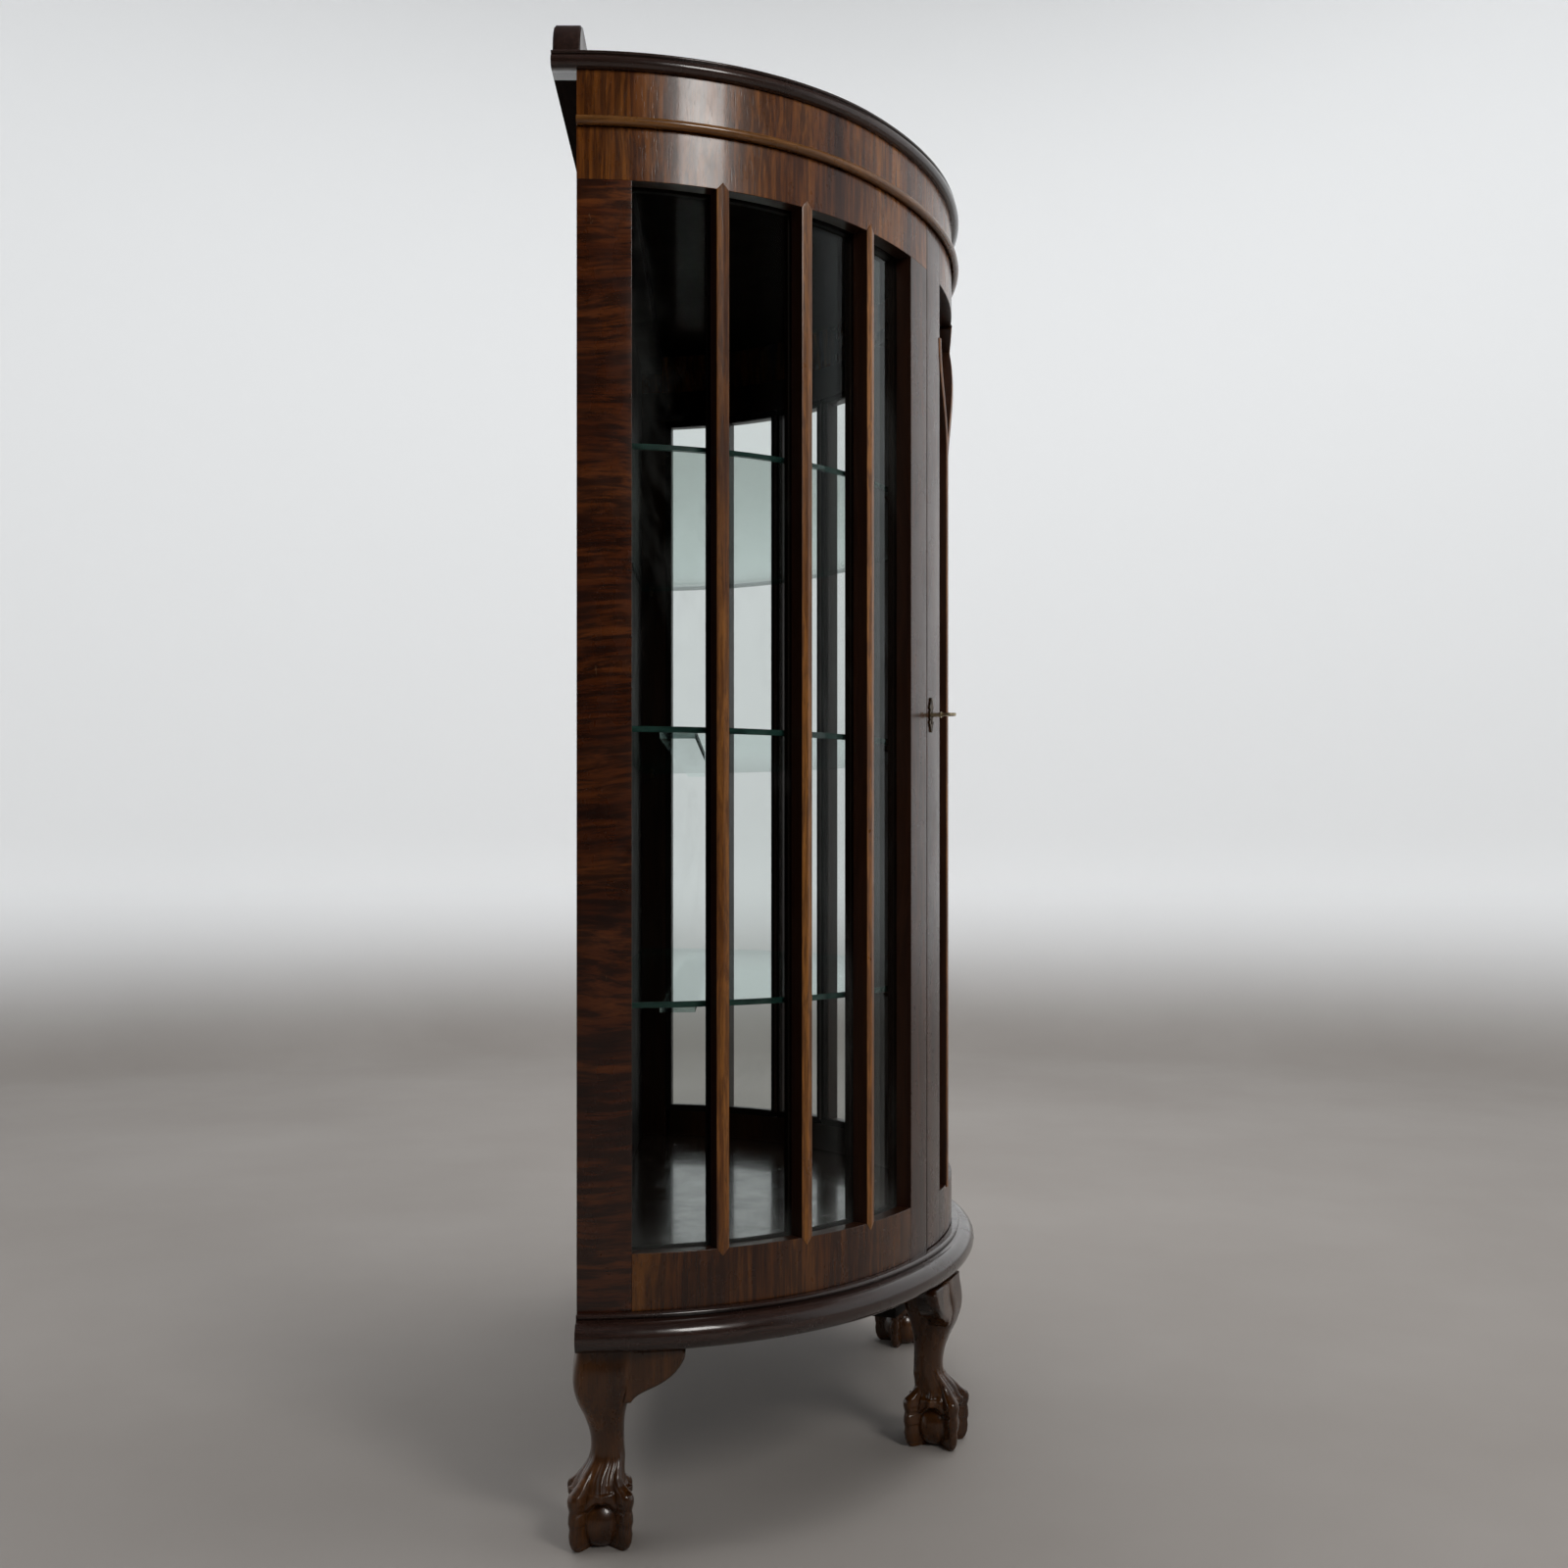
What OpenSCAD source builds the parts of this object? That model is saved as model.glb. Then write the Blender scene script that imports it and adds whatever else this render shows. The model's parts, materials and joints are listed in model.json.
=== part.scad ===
// Half-oval display cabinet on four cabriole legs, with one bowed glass door.
// Millimetres. +Z is up, the front faces -Y, and the origin lies on the floor
// under the middle of the cabinet's bounding box.

/* [Plan] */
// Half of the carcase's width, at its back
half_w = 421; // [400:1:450]
// Depth of the carcase, from the centres of its end arcs to its front
depth = 348; // [330:1:370]
// Angle that each end arc of the plan turns through
end_angle = 52.5; // [51:0.5:53]
// Distance from the end arcs' centres forward to the carcase's rear face
rear_cut = 4; // [2:0.5:8]

/* [Heights] */
// Height of the legs, from the floor to the base moulding
leg_h = 158; // [150:1:170]
// Height of the base moulding
base_h = 29; // [24:1:34]
// Height of the bottom rails of the side frames and of the door
low_rail_h = 46; // [40:1:60]
// Height of the glazed opening
glazed_h = 854; // [800:1:900]
// Height of the top rails of the side frames and of the door
top_rail_h = 42; // [36:1:50]
// Height of the bead under the frieze
bead_h = 7.5; // [6:0.5:9]
// Height of the frieze above its bead
frieze_h = 37.5; // [30:0.5:50]
// Thickness of the top board
top_t = 14; // [12:0.5:18]
// Height of the upstand along the back of the top
upstand_h = 36; // [20:1:40]

/* [Overhangs] */
// How far the top board stands out past the carcase at its front and ends
top_over = 7; // [5:0.5:10]
// How far the top board stands out behind the carcase
rear_over = 20; // [10:1:30]
// How far the base moulding stands out past the carcase
base_over = 22; // [18:1:26]
// Thickness of the upstand
upstand_t = 22; // [16:1:24]

/* [Frames] */
// Thickness of the side frames and of the door frame
frame_t = 22; // [20:1:24]
// Width of the rear post's face, from the end arcs' centre line
post_w = 48; // [44:1:52]
// Width of each side pane, along the curve
pane_w = 69.7; // [66:0.1:70]
// Width of a glazing bar's face
bar_w = 10.7; // [9:0.1:12]
// Width of the fixed stile beside the door
stile_w = 40.4; // [36:0.1:42]
// Width of the door's stiles
door_stile_w = 43.4; // [40:0.1:46]
// Depth from a frame's face to its glass
glass_depth = 14; // [12:0.5:15]
// Thickness of the glass panes
pane_t = 3; // [2:0.5:4]

/* [Door] */
// Half of the distance between the door's two upright astragals
astragal_x = 124; // [116:1:132]
// Height above the floor where the astragals divide
split_z = 944; // [900:1:980]
// Height above the floor of the keyhole
key_z = 679; // [640:1:720]
// Angle that the lock turns through to throw its bolt
key_turn = 180; // [90:10:180]
// Travel of the lock's bolt
bolt_travel = 8; // [6:0.5:9]

/* [Shelves] */
// Thickness of the glass shelves
shelf_t = 5; // [4:0.5:6]
// Heights above the floor of the shelves' undersides, from the lowest up
shelf_zs = [426, 650, 879];

/* [Legs] */
// Thickness of the leg's square head
leg_head = 50; // [46:1:54]
// Length along the curve from the back line to the middle of a rear leg
rear_leg_s = 29; // [27:1:34]
// Length along the curve from the back line to the middle of a front leg
front_leg_s = 428; // [415:1:435]
// Distance from the carcase's face in to the middle of a rear leg
rear_leg_in = 19; // [15:1:25]
// Distance from the carcase's face in to the middle of a front leg
front_leg_in = 7; // [5:1:15]

/* [Hidden] */
$fn = 96;

// Colours
WALNUT = "#7a4420";
WALNUT_DARK = "#4a2a1c";
WALNUT_GOLD = "#9a6228";
INSIDE = "#2c1c14";
GLASS = [0.75, 0.85, 0.83, 0.35];
BRASS = "#9a7b3c";

// The plan: two end arcs and a flatter front arc that meet without a corner
arc_k = (1 - sin(end_angle)) / cos(end_angle);
end_r = (depth - half_w * arc_k) / (1 - arc_k);
front_r = end_r + (half_w - end_r) / cos(end_angle);
end_x = half_w - end_r;
front_y = front_r - depth;
end_len = end_r * end_angle * PI / 180;
front_len = front_r * (180 - 2 * end_angle) * PI / 180;
plan_len = 2 * end_len + front_len;
// Each arc as [centre x, centre y, radius, first angle, length before it]
ARCS = [
    [-end_x, 0, end_r, 180, 0],
    [0, front_y, front_r, 180 + end_angle, end_len],
    [end_x, 0, end_r, 360 - end_angle, end_len + front_len]
];
ARC_ENDS = [end_len, end_len + front_len, plan_len];

// The frame's origin lies half-way between the moulding's front and the top's rear edge
rear_y = -rear_cut;
top_rear_y = rear_y + rear_over;
centre_y = (depth + base_over - top_rear_y) / 2;

// Heights
base_top = leg_h + base_h;
open_z0 = base_top + low_rail_h;
open_z1 = open_z0 + glazed_h;
rail_top = open_z1 + top_rail_h;
bead_top = rail_top + bead_h;
carcase_top = bead_top + frieze_h;
top_z = carcase_top + top_t;
floor_t = 10;
edge_w = 20;
base_land = 62;

// Lengths along the curve
bar_step = pane_w + bar_w;
stile_s = post_w + 4 * pane_w + 3 * bar_w;
seam_s = stile_s + stile_w;
seam_gap = 1.2;
door_s0 = seam_s + seam_gap / 2;
door_s1 = plan_len - door_s0;
fixed_s1 = seam_s - seam_gap / 2;
door_open_s0 = door_s0 + door_stile_w;
door_clear = 1;
door_z0 = base_top + door_clear;
door_z1 = rail_top - door_clear;

// Section of the frames: a front part, and a rebated part that holds the glass
rebate = 6;
bead_lip = 1.5;
glass_o = -glass_depth;
bead_o = glass_o - pane_t;
small = 0.01;
joint = 0.02;
big = 900;

// The back panel and the groove that takes it
panel_t = 5;
panel_in = 12;
panel_half = half_w - panel_in;

// Hinges and lock
hinge_out = 3.6;
hinge_r = 3.3;
pin_r = 1.5;
pin_slack = 0.05;
leaf_h = 50;
leaf_w = 18;
leaf_t = 1.3;
leaf_gap = 0.15;
knuckle_h = leaf_h / 3;
knuckle_gap = 0.3;
hinge_zs = [base_top + 110, rail_top - 110];
screw_r = 1.4;
screw_head_r = 2.6;
key_in = 11;
key_s = seam_s + key_in;
shank_r = 1.9;
case_z = [key_z - 17, key_z + 23];
case_y = [-8, 24];
case_o = [-31, -frame_t];
bolt_z = [key_z + 9, key_z + 17];
bolt_o = [-28.5, -25.5];
slide_slack = 0.35;

// Shelves, pins and strips
shelf_in = 25;
pin_len = 12;
pin_inset = 3;
shelf_pin_r = 3;
strip_w = 29;
strip_u = 68;
strip_t = 4.5;

// Gives the arc that holds the length s along the curve
function arc_of(s) = s < ARC_ENDS[0] ? 0 : s < ARC_ENDS[1] ? 1 : 2;

// Gives the angle of the carcase's outward normal at s
function normal_at(s) =
    let (arc = ARCS[arc_of(s)])
    arc[3] + (s - arc[4]) / arc[2] * 180 / PI;

// Gives the point of the carcase's face at s
function face_at(s) =
    let (arc = ARCS[arc_of(s)], angle = normal_at(s))
    [arc[0] + arc[2] * cos(angle), arc[1] + arc[2] * sin(angle), 0];

// Gives the point at parameter t of the cubic curve with control points p
function cubic(p, t) =
    pow(1 - t, 3) * p[0] + 3 * pow(1 - t, 2) * t * p[1]
    + 3 * (1 - t) * t * t * p[2] + pow(t, 3) * p[3];

// Gives n + 1 points along an arc about centre c, from angle a0 to a1
function arc_points(c, r, a0, a1, n) = [
    for (i = [0:n])
        let (angle = a0 + (a1 - a0) * i / n)
        [c[0] + r * cos(angle), c[1] + r * sin(angle)]
];

// Gives n + 1 points along a cubic curve
function curve(p, n) = [for (i = [0:n]) cubic(p, i / n)];

// Puts the arcs' centre line at its place in the part's frame
module in_frame() {
    translate([0, centre_y, 0]) children();
}

// Puts children at s: local x points out of the face and local y along the curve
module at(s) {
    translate(face_at(s)) rotate([0, 0, normal_at(s)]) children();
}

// Sweeps a 2D section along the curve from s0 to s1: section x is outward from the face, y is up.
// Where the sweep passes from one arc to the next, two lengths butt together.
module along(s0, s1) {
    for (i = [0:2]) {
        arc = ARCS[i];
        lo = max(s0, arc[4] + (i > 0 ? joint : 0));
        hi = min(s1, ARC_ENDS[i] - (i < 2 ? joint : 0));
        if (hi - lo > small) {
            translate([arc[0], arc[1], 0])
                rotate([0, 0, arc[3] + (lo - arc[4]) / arc[2] * 180 / PI])
                    rotate_extrude(angle = (hi - lo) / arc[2] * 180 / PI)
                        translate([arc[2], 0]) children();
        }
    }
}

// A curved bar of rectangular section, between offsets o0 and o1 from the face
module strip(s0, s1, o0, o1, z0, z1) {
    along(s0, s1) translate([o0, z0]) square([o1 - o0, z1 - z0]);
}

// A solid with the carcase's plan grown outwards by o, as far back as the arcs' centre line
module plan_solid(o, z0, t) {
    reach_x = big * cos(end_angle);
    reach_y = big * sin(end_angle);
    translate([0, 0, z0]) {
        intersection() {
            translate([0, front_y, 0]) cylinder(r = front_r + o, h = t);
            linear_extrude(t) polygon([
                [-end_x, 0], [end_x, 0],
                [end_x + reach_x, -reach_y], [-end_x - reach_x, -reach_y]
            ]);
        }
        for (side = [-1, 1]) intersection() {
            translate([side * end_x, 0, 0]) cylinder(r = end_r + o, h = t);
            linear_extrude(t) polygon([
                [side * end_x, 0], [side * (end_x + big), 0],
                [side * (end_x + big), -big], [side * (end_x + reach_x), -reach_y]
            ]);
        }
    }
}

// A flat board inside the frames, cut off at a distance in from the carcase's rear face
module inner_board(o, z0, t, rear_in) {
    difference() {
        plan_solid(o, z0, t);
        translate([-big, rear_y - rear_in, z0 - 1]) cube([2 * big, big, t + 2]);
    }
}

// Draws children for the right-hand side of the cabinet
module right_side() {
    mirror([1, 0, 0]) children();
}

// ---------------------------------------------------------------- carcase

// The top's flat middle, inside its moulded edge
module top_board() {
    half = half_w - edge_w;
    color(WALNUT_DARK) in_frame() {
        plan_solid(-edge_w, carcase_top, top_t);
        translate([-half, 0, carcase_top]) cube([2 * half, top_rear_y, top_t]);
    }
}

// Section of the top's moulded edge: a round nose under a thin slab
module top_edge_section() {
    nose_r = top_t * 0.375;
    slab_in = 1.5;
    polygon(concat(
        [[-edge_w, 0]],
        arc_points([top_over - nose_r, nose_r], nose_r, -90, 70, 10),
        [[top_over - slab_in, 2 * nose_r], [top_over - slab_in, top_t], [-edge_w, top_t]]
    ));
}

module top_edge() {
    color(WALNUT_DARK) in_frame() translate([0, 0, carcase_top]) {
        along(0, plan_len) top_edge_section();
        for (side = [0, 1]) mirror([side, 0, 0]) translate([half_w, top_rear_y, 0])
            rotate([90, 0, 0]) linear_extrude(top_rear_y - joint) top_edge_section();
    }
}

// The upstand, with an ogee at each end
module upstand() {
    end_in = 10;
    half = half_w + top_over - end_in;
    foot = 4;
    round_r = upstand_h - foot;
    color(WALNUT_DARK) in_frame()
        translate([0, top_rear_y, top_z]) rotate([90, 0, 0]) linear_extrude(upstand_t)
            difference() {
                union() {
                    translate([-half, 0]) square([2 * half, foot]);
                    translate([-half + foot + round_r, 0])
                        square([2 * (half - foot - round_r), upstand_h]);
                    for (side = [-1, 1])
                        translate([side * (half - foot - round_r), foot]) circle(r = round_r);
                }
                for (side = [-1, 1]) translate([side * half, foot]) circle(r = foot - 2);
                translate([-half - 1, -round_r]) square([2 * half + 2, round_r]);
            }
}

module frieze() {
    color(WALNUT) in_frame() with_panel_rebate()
        strip(rear_cut, plan_len - rear_cut, -frame_t, 0, rail_top, carcase_top);
}

module frieze_bead() {
    r = bead_h / 2;
    over = bead_h - 0.5;
    color(WALNUT_GOLD) in_frame() along(rear_cut, plan_len - rear_cut)
        polygon(concat(
            [[0, rail_top]],
            arc_points([over - r, rail_top + r], r, -90, 90, 10),
            [[0, bead_top]]
        ));
}

// Half of the clear width at a distance u forward, between faces that lie a distance in
function inner_half(u, in) = end_x + sqrt(pow(end_r - in, 2) - u * u) - 0.5;

module rear_top_rail() {
    rail_d = 26;
    rail_h = 22;
    half = inner_half(rear_cut + panel_t + rail_d, frame_t);
    color(INSIDE) in_frame()
        translate([-half, rear_y - panel_t - rail_d, carcase_top - rail_h])
            cube([2 * half, rail_d, rail_h]);
}

module rear_base_rail() {
    rail_d = 22;
    half = inner_half(rear_cut + rail_d, base_land);
    color(INSIDE) in_frame()
        translate([-half, rear_y - rail_d, leg_h]) cube([2 * half, rail_d, base_h]);
}

// A thin panel in a groove round the back
module back_panel() {
    color(INSIDE) in_frame()
        translate([-panel_half, rear_y - panel_t, base_top + small])
            cube([2 * panel_half, panel_t, carcase_top - base_top - 2 * small]);
}

// Cuts the rebate for the back panel out of the children
module with_panel_rebate() {
    difference() {
        children();
        translate([-panel_half - small, rear_y - panel_t, base_top - 1])
            cube([2 * panel_half + 2 * small, big, 2 * big]);
    }
}

module back_panel_nails() {
    rows = 6;
    head_r = 3;
    head_t = 0.8;
    color("#8a8a86") in_frame()
        for (side = [-1, 1], i = [0:rows - 1])
            translate([
                side * (panel_half - 6), rear_y,
                base_top + 60 + i * (carcase_top - base_top - 120) / (rows - 1)
            ]) rotate([90, 0, 0]) {
                translate([0, 0, -head_t]) cylinder(r = head_r, h = head_t);
                cylinder(r = 0.9, h = 14);
            }
}

module floor_board() {
    color(INSIDE) in_frame() inner_board(-frame_t - 1, base_top, floor_t, panel_t + 0.2);
}

// Base moulding: a large torus with a small bead and a fillet above it
module base_moulding() {
    torus_r = 12;
    bead_r = 2.4;
    bead_x = 5;
    color(WALNUT_DARK) in_frame() along(rear_cut, plan_len - rear_cut)
        polygon(concat(
            [[-base_land, leg_h]],
            arc_points([base_over - torus_r, leg_h + torus_r], torus_r, -90, 90, 14),
            arc_points([bead_x, base_top - bead_r], bead_r, -90, 90, 8),
            [[-base_land, base_top]]
        ));
}

// A strip under the frieze, which the top of the door closes against
module door_stop() {
    stop_t = 10;
    stop_h = 9;
    from = door_open_s0 - 12;
    color(INSIDE) in_frame()
        strip(from, plan_len - from, -frame_t - 0.8 - stop_t, -frame_t - 0.8,
              rail_top - stop_h, rail_top + 6);
}

// ---------------------------------------------------------------- side frames

module rear_post() {
    color(WALNUT) in_frame() with_panel_rebate() {
        strip(rear_cut, post_w, glass_o, 0, base_top, open_z1);
        strip(rear_cut, post_w - rebate, -frame_t, glass_o, base_top, open_z1 + rebate);
    }
}

module front_stile() {
    color(WALNUT) in_frame() {
        strip(stile_s, fixed_s1, glass_o, 0, base_top, open_z1);
        strip(stile_s + rebate, fixed_s1, -frame_t, glass_o, base_top, open_z1 + rebate);
    }
}

// The right stile has grooves for the hinges' leaves
module right_front_stile() {
    difference() {
        right_side() front_stile();
        in_frame() hinge_grooves(1);
    }
}

module side_top_rail() {
    color(WALNUT) in_frame() with_panel_rebate() along(rear_cut, fixed_s1)
        polygon([
            [-frame_t, open_z1 + rebate], [glass_o, open_z1 + rebate], [glass_o, open_z1],
            [0, open_z1], [0, rail_top], [-frame_t, rail_top]
        ]);
}

module side_bottom_rail() {
    color(WALNUT) in_frame() along(post_w, stile_s)
        polygon([
            [-frame_t, base_top], [0, base_top], [0, open_z0], [glass_o, open_z0],
            [glass_o, open_z0 - rebate], [-frame_t, open_z0 - rebate]
        ]);
}

// A glazing bar: a bevelled face with pointed ends over a narrow rear web
module glazing_bar(z0, z1) {
    proud = 1.6;
    point = 6;
    web = 3.6;
    translate([0, 0, z0])
        linear_extrude(z1 - z0) polygon([
            [glass_o, -bar_w / 2], [0, -bar_w / 2], [0, bar_w / 2], [glass_o, bar_w / 2]
        ]);
    translate([-frame_t, -web / 2, z0]) cube([frame_t - glass_depth + small, web, z1 - z0]);
    intersection() {
        translate([0, 0, z0 - point]) linear_extrude(z1 - z0 + 2 * point) polygon([
            [0, -bar_w / 2], [0.3, -bar_w / 2], [proud, 0], [0.3, bar_w / 2], [0, bar_w / 2]
        ]);
        rotate([90, 0, 90]) translate([0, 0, -2]) linear_extrude(5) polygon([
            [0, z0 - point], [bar_w / 2, z0], [bar_w / 2, z1],
            [0, z1 + point], [-bar_w / 2, z1], [-bar_w / 2, z0]
        ]);
    }
}

module side_glazing_bars() {
    color(WALNUT_GOLD) in_frame()
        for (i = [1:3]) at(post_w + i * bar_step - bar_w / 2) glazing_bar(open_z0, open_z1);
}

module side_glass() {
    edge = 3;
    color(GLASS) in_frame() for (i = [0:3]) {
        from = post_w + i * bar_step;
        strip(from - (i == 0 ? edge : 1.5), from + pane_w + (i == 3 ? edge : 1.5),
              bead_o, glass_o - small, open_z0 - edge, open_z1 + edge);
    }
}

// Strips that hold the panes from inside, round each pane
module side_glazing_beads() {
    web = 2.2;
    bar_bead = bar_w / 2 - web + bead_lip;
    color(INSIDE) in_frame() for (i = [0:3]) {
        from = post_w + i * bar_step;
        glazing_frame(
            from - (i == 0 ? rebate : bar_w / 2 - web),
            from + pane_w + (i == 3 ? rebate : bar_w / 2 - web),
            i == 0 ? rebate + bead_lip : bar_bead,
            i == 3 ? rebate + bead_lip : bar_bead
        );
    }
}

// Beads round a pane, inside the frame, of widths w0 and w1 at its two upright edges
module glazing_frame(s0, s1, w0, w1) {
    z0 = open_z0 - rebate;
    z1 = open_z1 + rebate;
    h = rebate + bead_lip;
    difference() {
        strip(s0, s1, -frame_t, bead_o - small, z0, z1);
        strip(s0 + w0, s1 - w1, -frame_t - 1, bead_o + 1, z0 + h, z1 - h);
    }
}

// ---------------------------------------------------------------- shelves

module shelf(z) {
    color(GLASS) in_frame() inner_board(-shelf_in, z, shelf_t, panel_t + 1);
}

module shelf_strips() {
    half = inner_half(strip_u + strip_w, frame_t) - 4;
    color(GLASS) in_frame() for (i = [0, 1])
        translate([-half, -strip_u - strip_w, shelf_zs[i] - strip_t])
            cube([2 * half, strip_w, strip_t]);
}

// Turned pegs under the shelves: two at each rear post and one at each front stile
module shelf_pins() {
    pin_s = [post_w / 2, (stile_s + fixed_s1) / 2];
    color(BRASS) in_frame() for (z = shelf_zs, s = pin_s, side = [0, 1])
        mirror([side, 0, 0]) at(s)
            translate([-frame_t + pin_inset, 0, z - shelf_pin_r])
                rotate([0, -90, 0]) cylinder(r = shelf_pin_r, h = pin_len + pin_inset);
}

// ---------------------------------------------------------------- legs

// Stations of a leg from the floor up:
// [height, shift along the diagonal, half width, squareness of the section]
LEG = [
    [0, 6, 20, 2.4], [6, 8.5, 23.5, 2.8], [15, 8.5, 25.6, 3], [31, 8.8, 26, 3],
    [42, 9.2, 25.4, 2.8], [50, 8, 22.5, 2.6], [57, 3.5, 17.5, 2.4], [66, 0.5, 14.6, 2.3],
    [75, 0, 13.4, 2.4], [88, 1, 13.8, 2.6], [102, 3.6, 16.4, 3], [115, 5.8, 20.6, 3.6],
    [128, 5.8, 23.8, 4.4], [141, 3.6, 25, 5.5], [151, 1.2, 25, 7], [158, 0, 25, 8]
];
LEG_SIDES = 24;

// Gives one closed ring of points round a leg at a station
function leg_ring(station) = [
    for (i = [0:LEG_SIDES - 1])
        let (
            angle = i * 360 / LEG_SIDES,
            n = station[3],
            r = station[2] * leg_head / 50
                / pow(pow(abs(cos(angle)), n) + pow(abs(sin(angle)), n), 1 / n)
        )
        [
            r * cos(angle) + station[1] * cos(45),
            r * sin(angle) - station[1] * sin(45),
            station[0] * leg_h / 158
        ]
];

// A cabriole leg that leans outwards along -45 degrees of its local frame
module leg_solid() {
    rings = len(LEG);
    points = [for (station = LEG) each leg_ring(station)];
    sides = [
        for (j = [0:rings - 2], i = [0:LEG_SIDES - 1])
            let (next = (i + 1) % LEG_SIDES)
            [
                j * LEG_SIDES + i, (j + 1) * LEG_SIDES + i,
                (j + 1) * LEG_SIDES + next, j * LEG_SIDES + next
            ]
    ];
    bottom = [for (i = [0:LEG_SIDES - 1]) i];
    top = [for (i = [0:LEG_SIDES - 1]) (rings - 1) * LEG_SIDES + LEG_SIDES - 1 - i];
    polyhedron(points, concat(sides, [bottom], [top]), convexity = 4);
}

// The ear beside a leg: a shaped bracket under the moulding, along local +y
module ear_solid() {
    head = leg_head / 2;
    reach = head + 36.5;
    thick = 20;
    tip = 7;
    // The edge that lies against the leg, from the top down
    inner = [[head, 0], [head, -18], [head - 4, -30], [head - 7.5, -43]];
    lower = curve([[head - 7.5, -43], [head - 1, -30], [reach - 11.5, -34], [reach, -tip]], 14);
    translate([head - 1 - thick, 0, leg_h]) rotate([90, 0, 90])
        linear_extrude(thick) polygon(concat(inner, lower, [[reach, 0]]));
}

// Puts a leg's local frame under the moulding, at s and at a distance in from the face
module rear_leg_place() {
    color(WALNUT) in_frame() at(rear_leg_s) translate([-rear_leg_in, 0, 0]) children();
}

module front_leg_place() {
    color(WALNUT) in_frame() at(front_leg_s) translate([-front_leg_in, 0, 0])
        mirror([0, 1, 0]) children();
}

module rear_left_leg() { rear_leg_place() leg_solid(); }
module front_left_leg() { front_leg_place() leg_solid(); }
module front_right_leg() { right_side() front_left_leg(); }
module rear_right_leg() { right_side() rear_left_leg(); }

module rear_left_ear() { rear_leg_place() ear_solid(); }
module front_left_ear() { front_leg_place() ear_solid(); }
module front_right_ear() { right_side() front_left_ear(); }
module rear_right_ear() { right_side() rear_left_ear(); }

// Glue blocks behind the legs, under the base moulding
module leg_blocks() {
    block = [26, 46, 38];
    gap = 0.5;
    for (side = [0, 1]) mirror([side, 0, 0]) {
        for (i = [0, 1]) {
            if (i == 0) rear_leg_place() leg_block(block, gap);
            else front_leg_place() leg_block(block, gap);
        }
    }
}

module leg_block(block, gap) {
    color(INSIDE) translate([-leg_head / 2 - block[0] - gap, -block[1] / 2, leg_h - block[2]])
        cube(block);
}

// ---------------------------------------------------------------- door

module door_stile() {
    color(WALNUT) in_frame() {
        strip(door_s0, door_open_s0, glass_o, 0, door_z0, door_z1);
        strip(door_s0, door_open_s0 - rebate, -frame_t, glass_o, door_z0, door_z1);
    }
}

module door_lock_stile() {
    difference() {
        door_stile();
        in_frame() at(key_s) translate([0, 0, key_z]) keyhole(-frame_t - 1, 1);
    }
}

module door_hinge_stile() {
    difference() {
        right_side() door_stile();
        in_frame() hinge_grooves(-1);
    }
}

module door_rail(z0, z1, rebate_z0, rebate_z1) {
    color(WALNUT) in_frame() {
        strip(door_open_s0, plan_len - door_open_s0, glass_o, 0, z0, z1);
        strip(door_open_s0 - rebate, plan_len - door_open_s0 + rebate, -frame_t, glass_o,
              rebate_z0, rebate_z1);
    }
}

module door_top_rail() { door_rail(open_z1, door_z1, open_z1 + rebate, door_z1); }
module door_bottom_rail() { door_rail(door_z0, open_z0, door_z0, open_z0 - rebate); }

// The door's tracery, drawn in elevation: uprights that divide into ogees and a pointed arch
astragal_w = 9;
ogee_out = 36;
ogee_h = 82;
apex_z = 1066;

// A ribbon of width w along a list of points
module ribbon(points, w) {
    count = len(points);
    tangents = [
        for (i = [0:count - 1])
            let (d = points[min(i + 1, count - 1)] - points[max(i - 1, 0)])
            d / norm(d)
    ];
    left = [for (i = [0:count - 1]) points[i] + w / 2 * [-tangents[i][1], tangents[i][0]]];
    right = [for (i = [0:count - 1]) points[i] - w / 2 * [-tangents[i][1], tangents[i][0]]];
    polygon(concat(left, [for (i = [count - 1:-1:0]) right[i]]));
}

// One side of the tracery, for the right half of the door
module tracery() {
    foot = [astragal_x, split_z];
    apex = [0, apex_z];
    over = [-26, open_z1 + 6];
    ogee_end = [astragal_x + ogee_out, split_z + ogee_h];
    translate([astragal_x - astragal_w / 2, open_z0 - 4])
        square([astragal_w, split_z - open_z0 + 12]);
    ribbon(concat(
        curve([foot - [0, 12], foot + [-10, 18], apex + [54, -44], apex], 14),
        [for (i = [1:3]) apex + (over - apex) * i / 3]
    ), astragal_w);
    ribbon(curve([
        foot - [0, 8], foot + [2, 30], ogee_end - [2, 34], ogee_end + [0, 10]
    ], 14), astragal_w);
}

// The tracery cut out of a curved band of the door's own shape
module door_astragals() {
    proud = 1.5;
    color(WALNUT_GOLD) in_frame() intersection() {
        strip(door_open_s0 + small, plan_len - door_open_s0 - small, glass_o, proud,
              open_z0 + small, open_z1 - small);
        union() for (side = [0, 1]) mirror([side, 0, 0])
            rotate([90, 0, 0]) linear_extrude(big) tracery();
    }
}

module door_glass() {
    edge = 4;
    color(GLASS) in_frame()
        strip(door_open_s0 - edge, plan_len - door_open_s0 + edge, bead_o, glass_o - small,
              open_z0 - edge, open_z1 + edge);
}

module door_glazing_beads() {
    color(INSIDE) in_frame()
        glazing_frame(door_open_s0 - rebate, plan_len - door_open_s0 + rebate,
                      rebate + bead_lip, rebate + bead_lip);
}

// ---------------------------------------------------------------- lock

// A round hole with a slot below it, from local x0 to x1
module keyhole(x0, x1) {
    translate([x0, 0, 0]) rotate([0, 90, 0]) cylinder(r = shank_r + 0.7, h = x1 - x0);
    translate([x0, -1.2, -8.5]) cube([x1 - x0, 2.4, 8.5]);
}

module at_key() {
    in_frame() at(key_s) translate([0, 0, key_z]) children();
}

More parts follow.
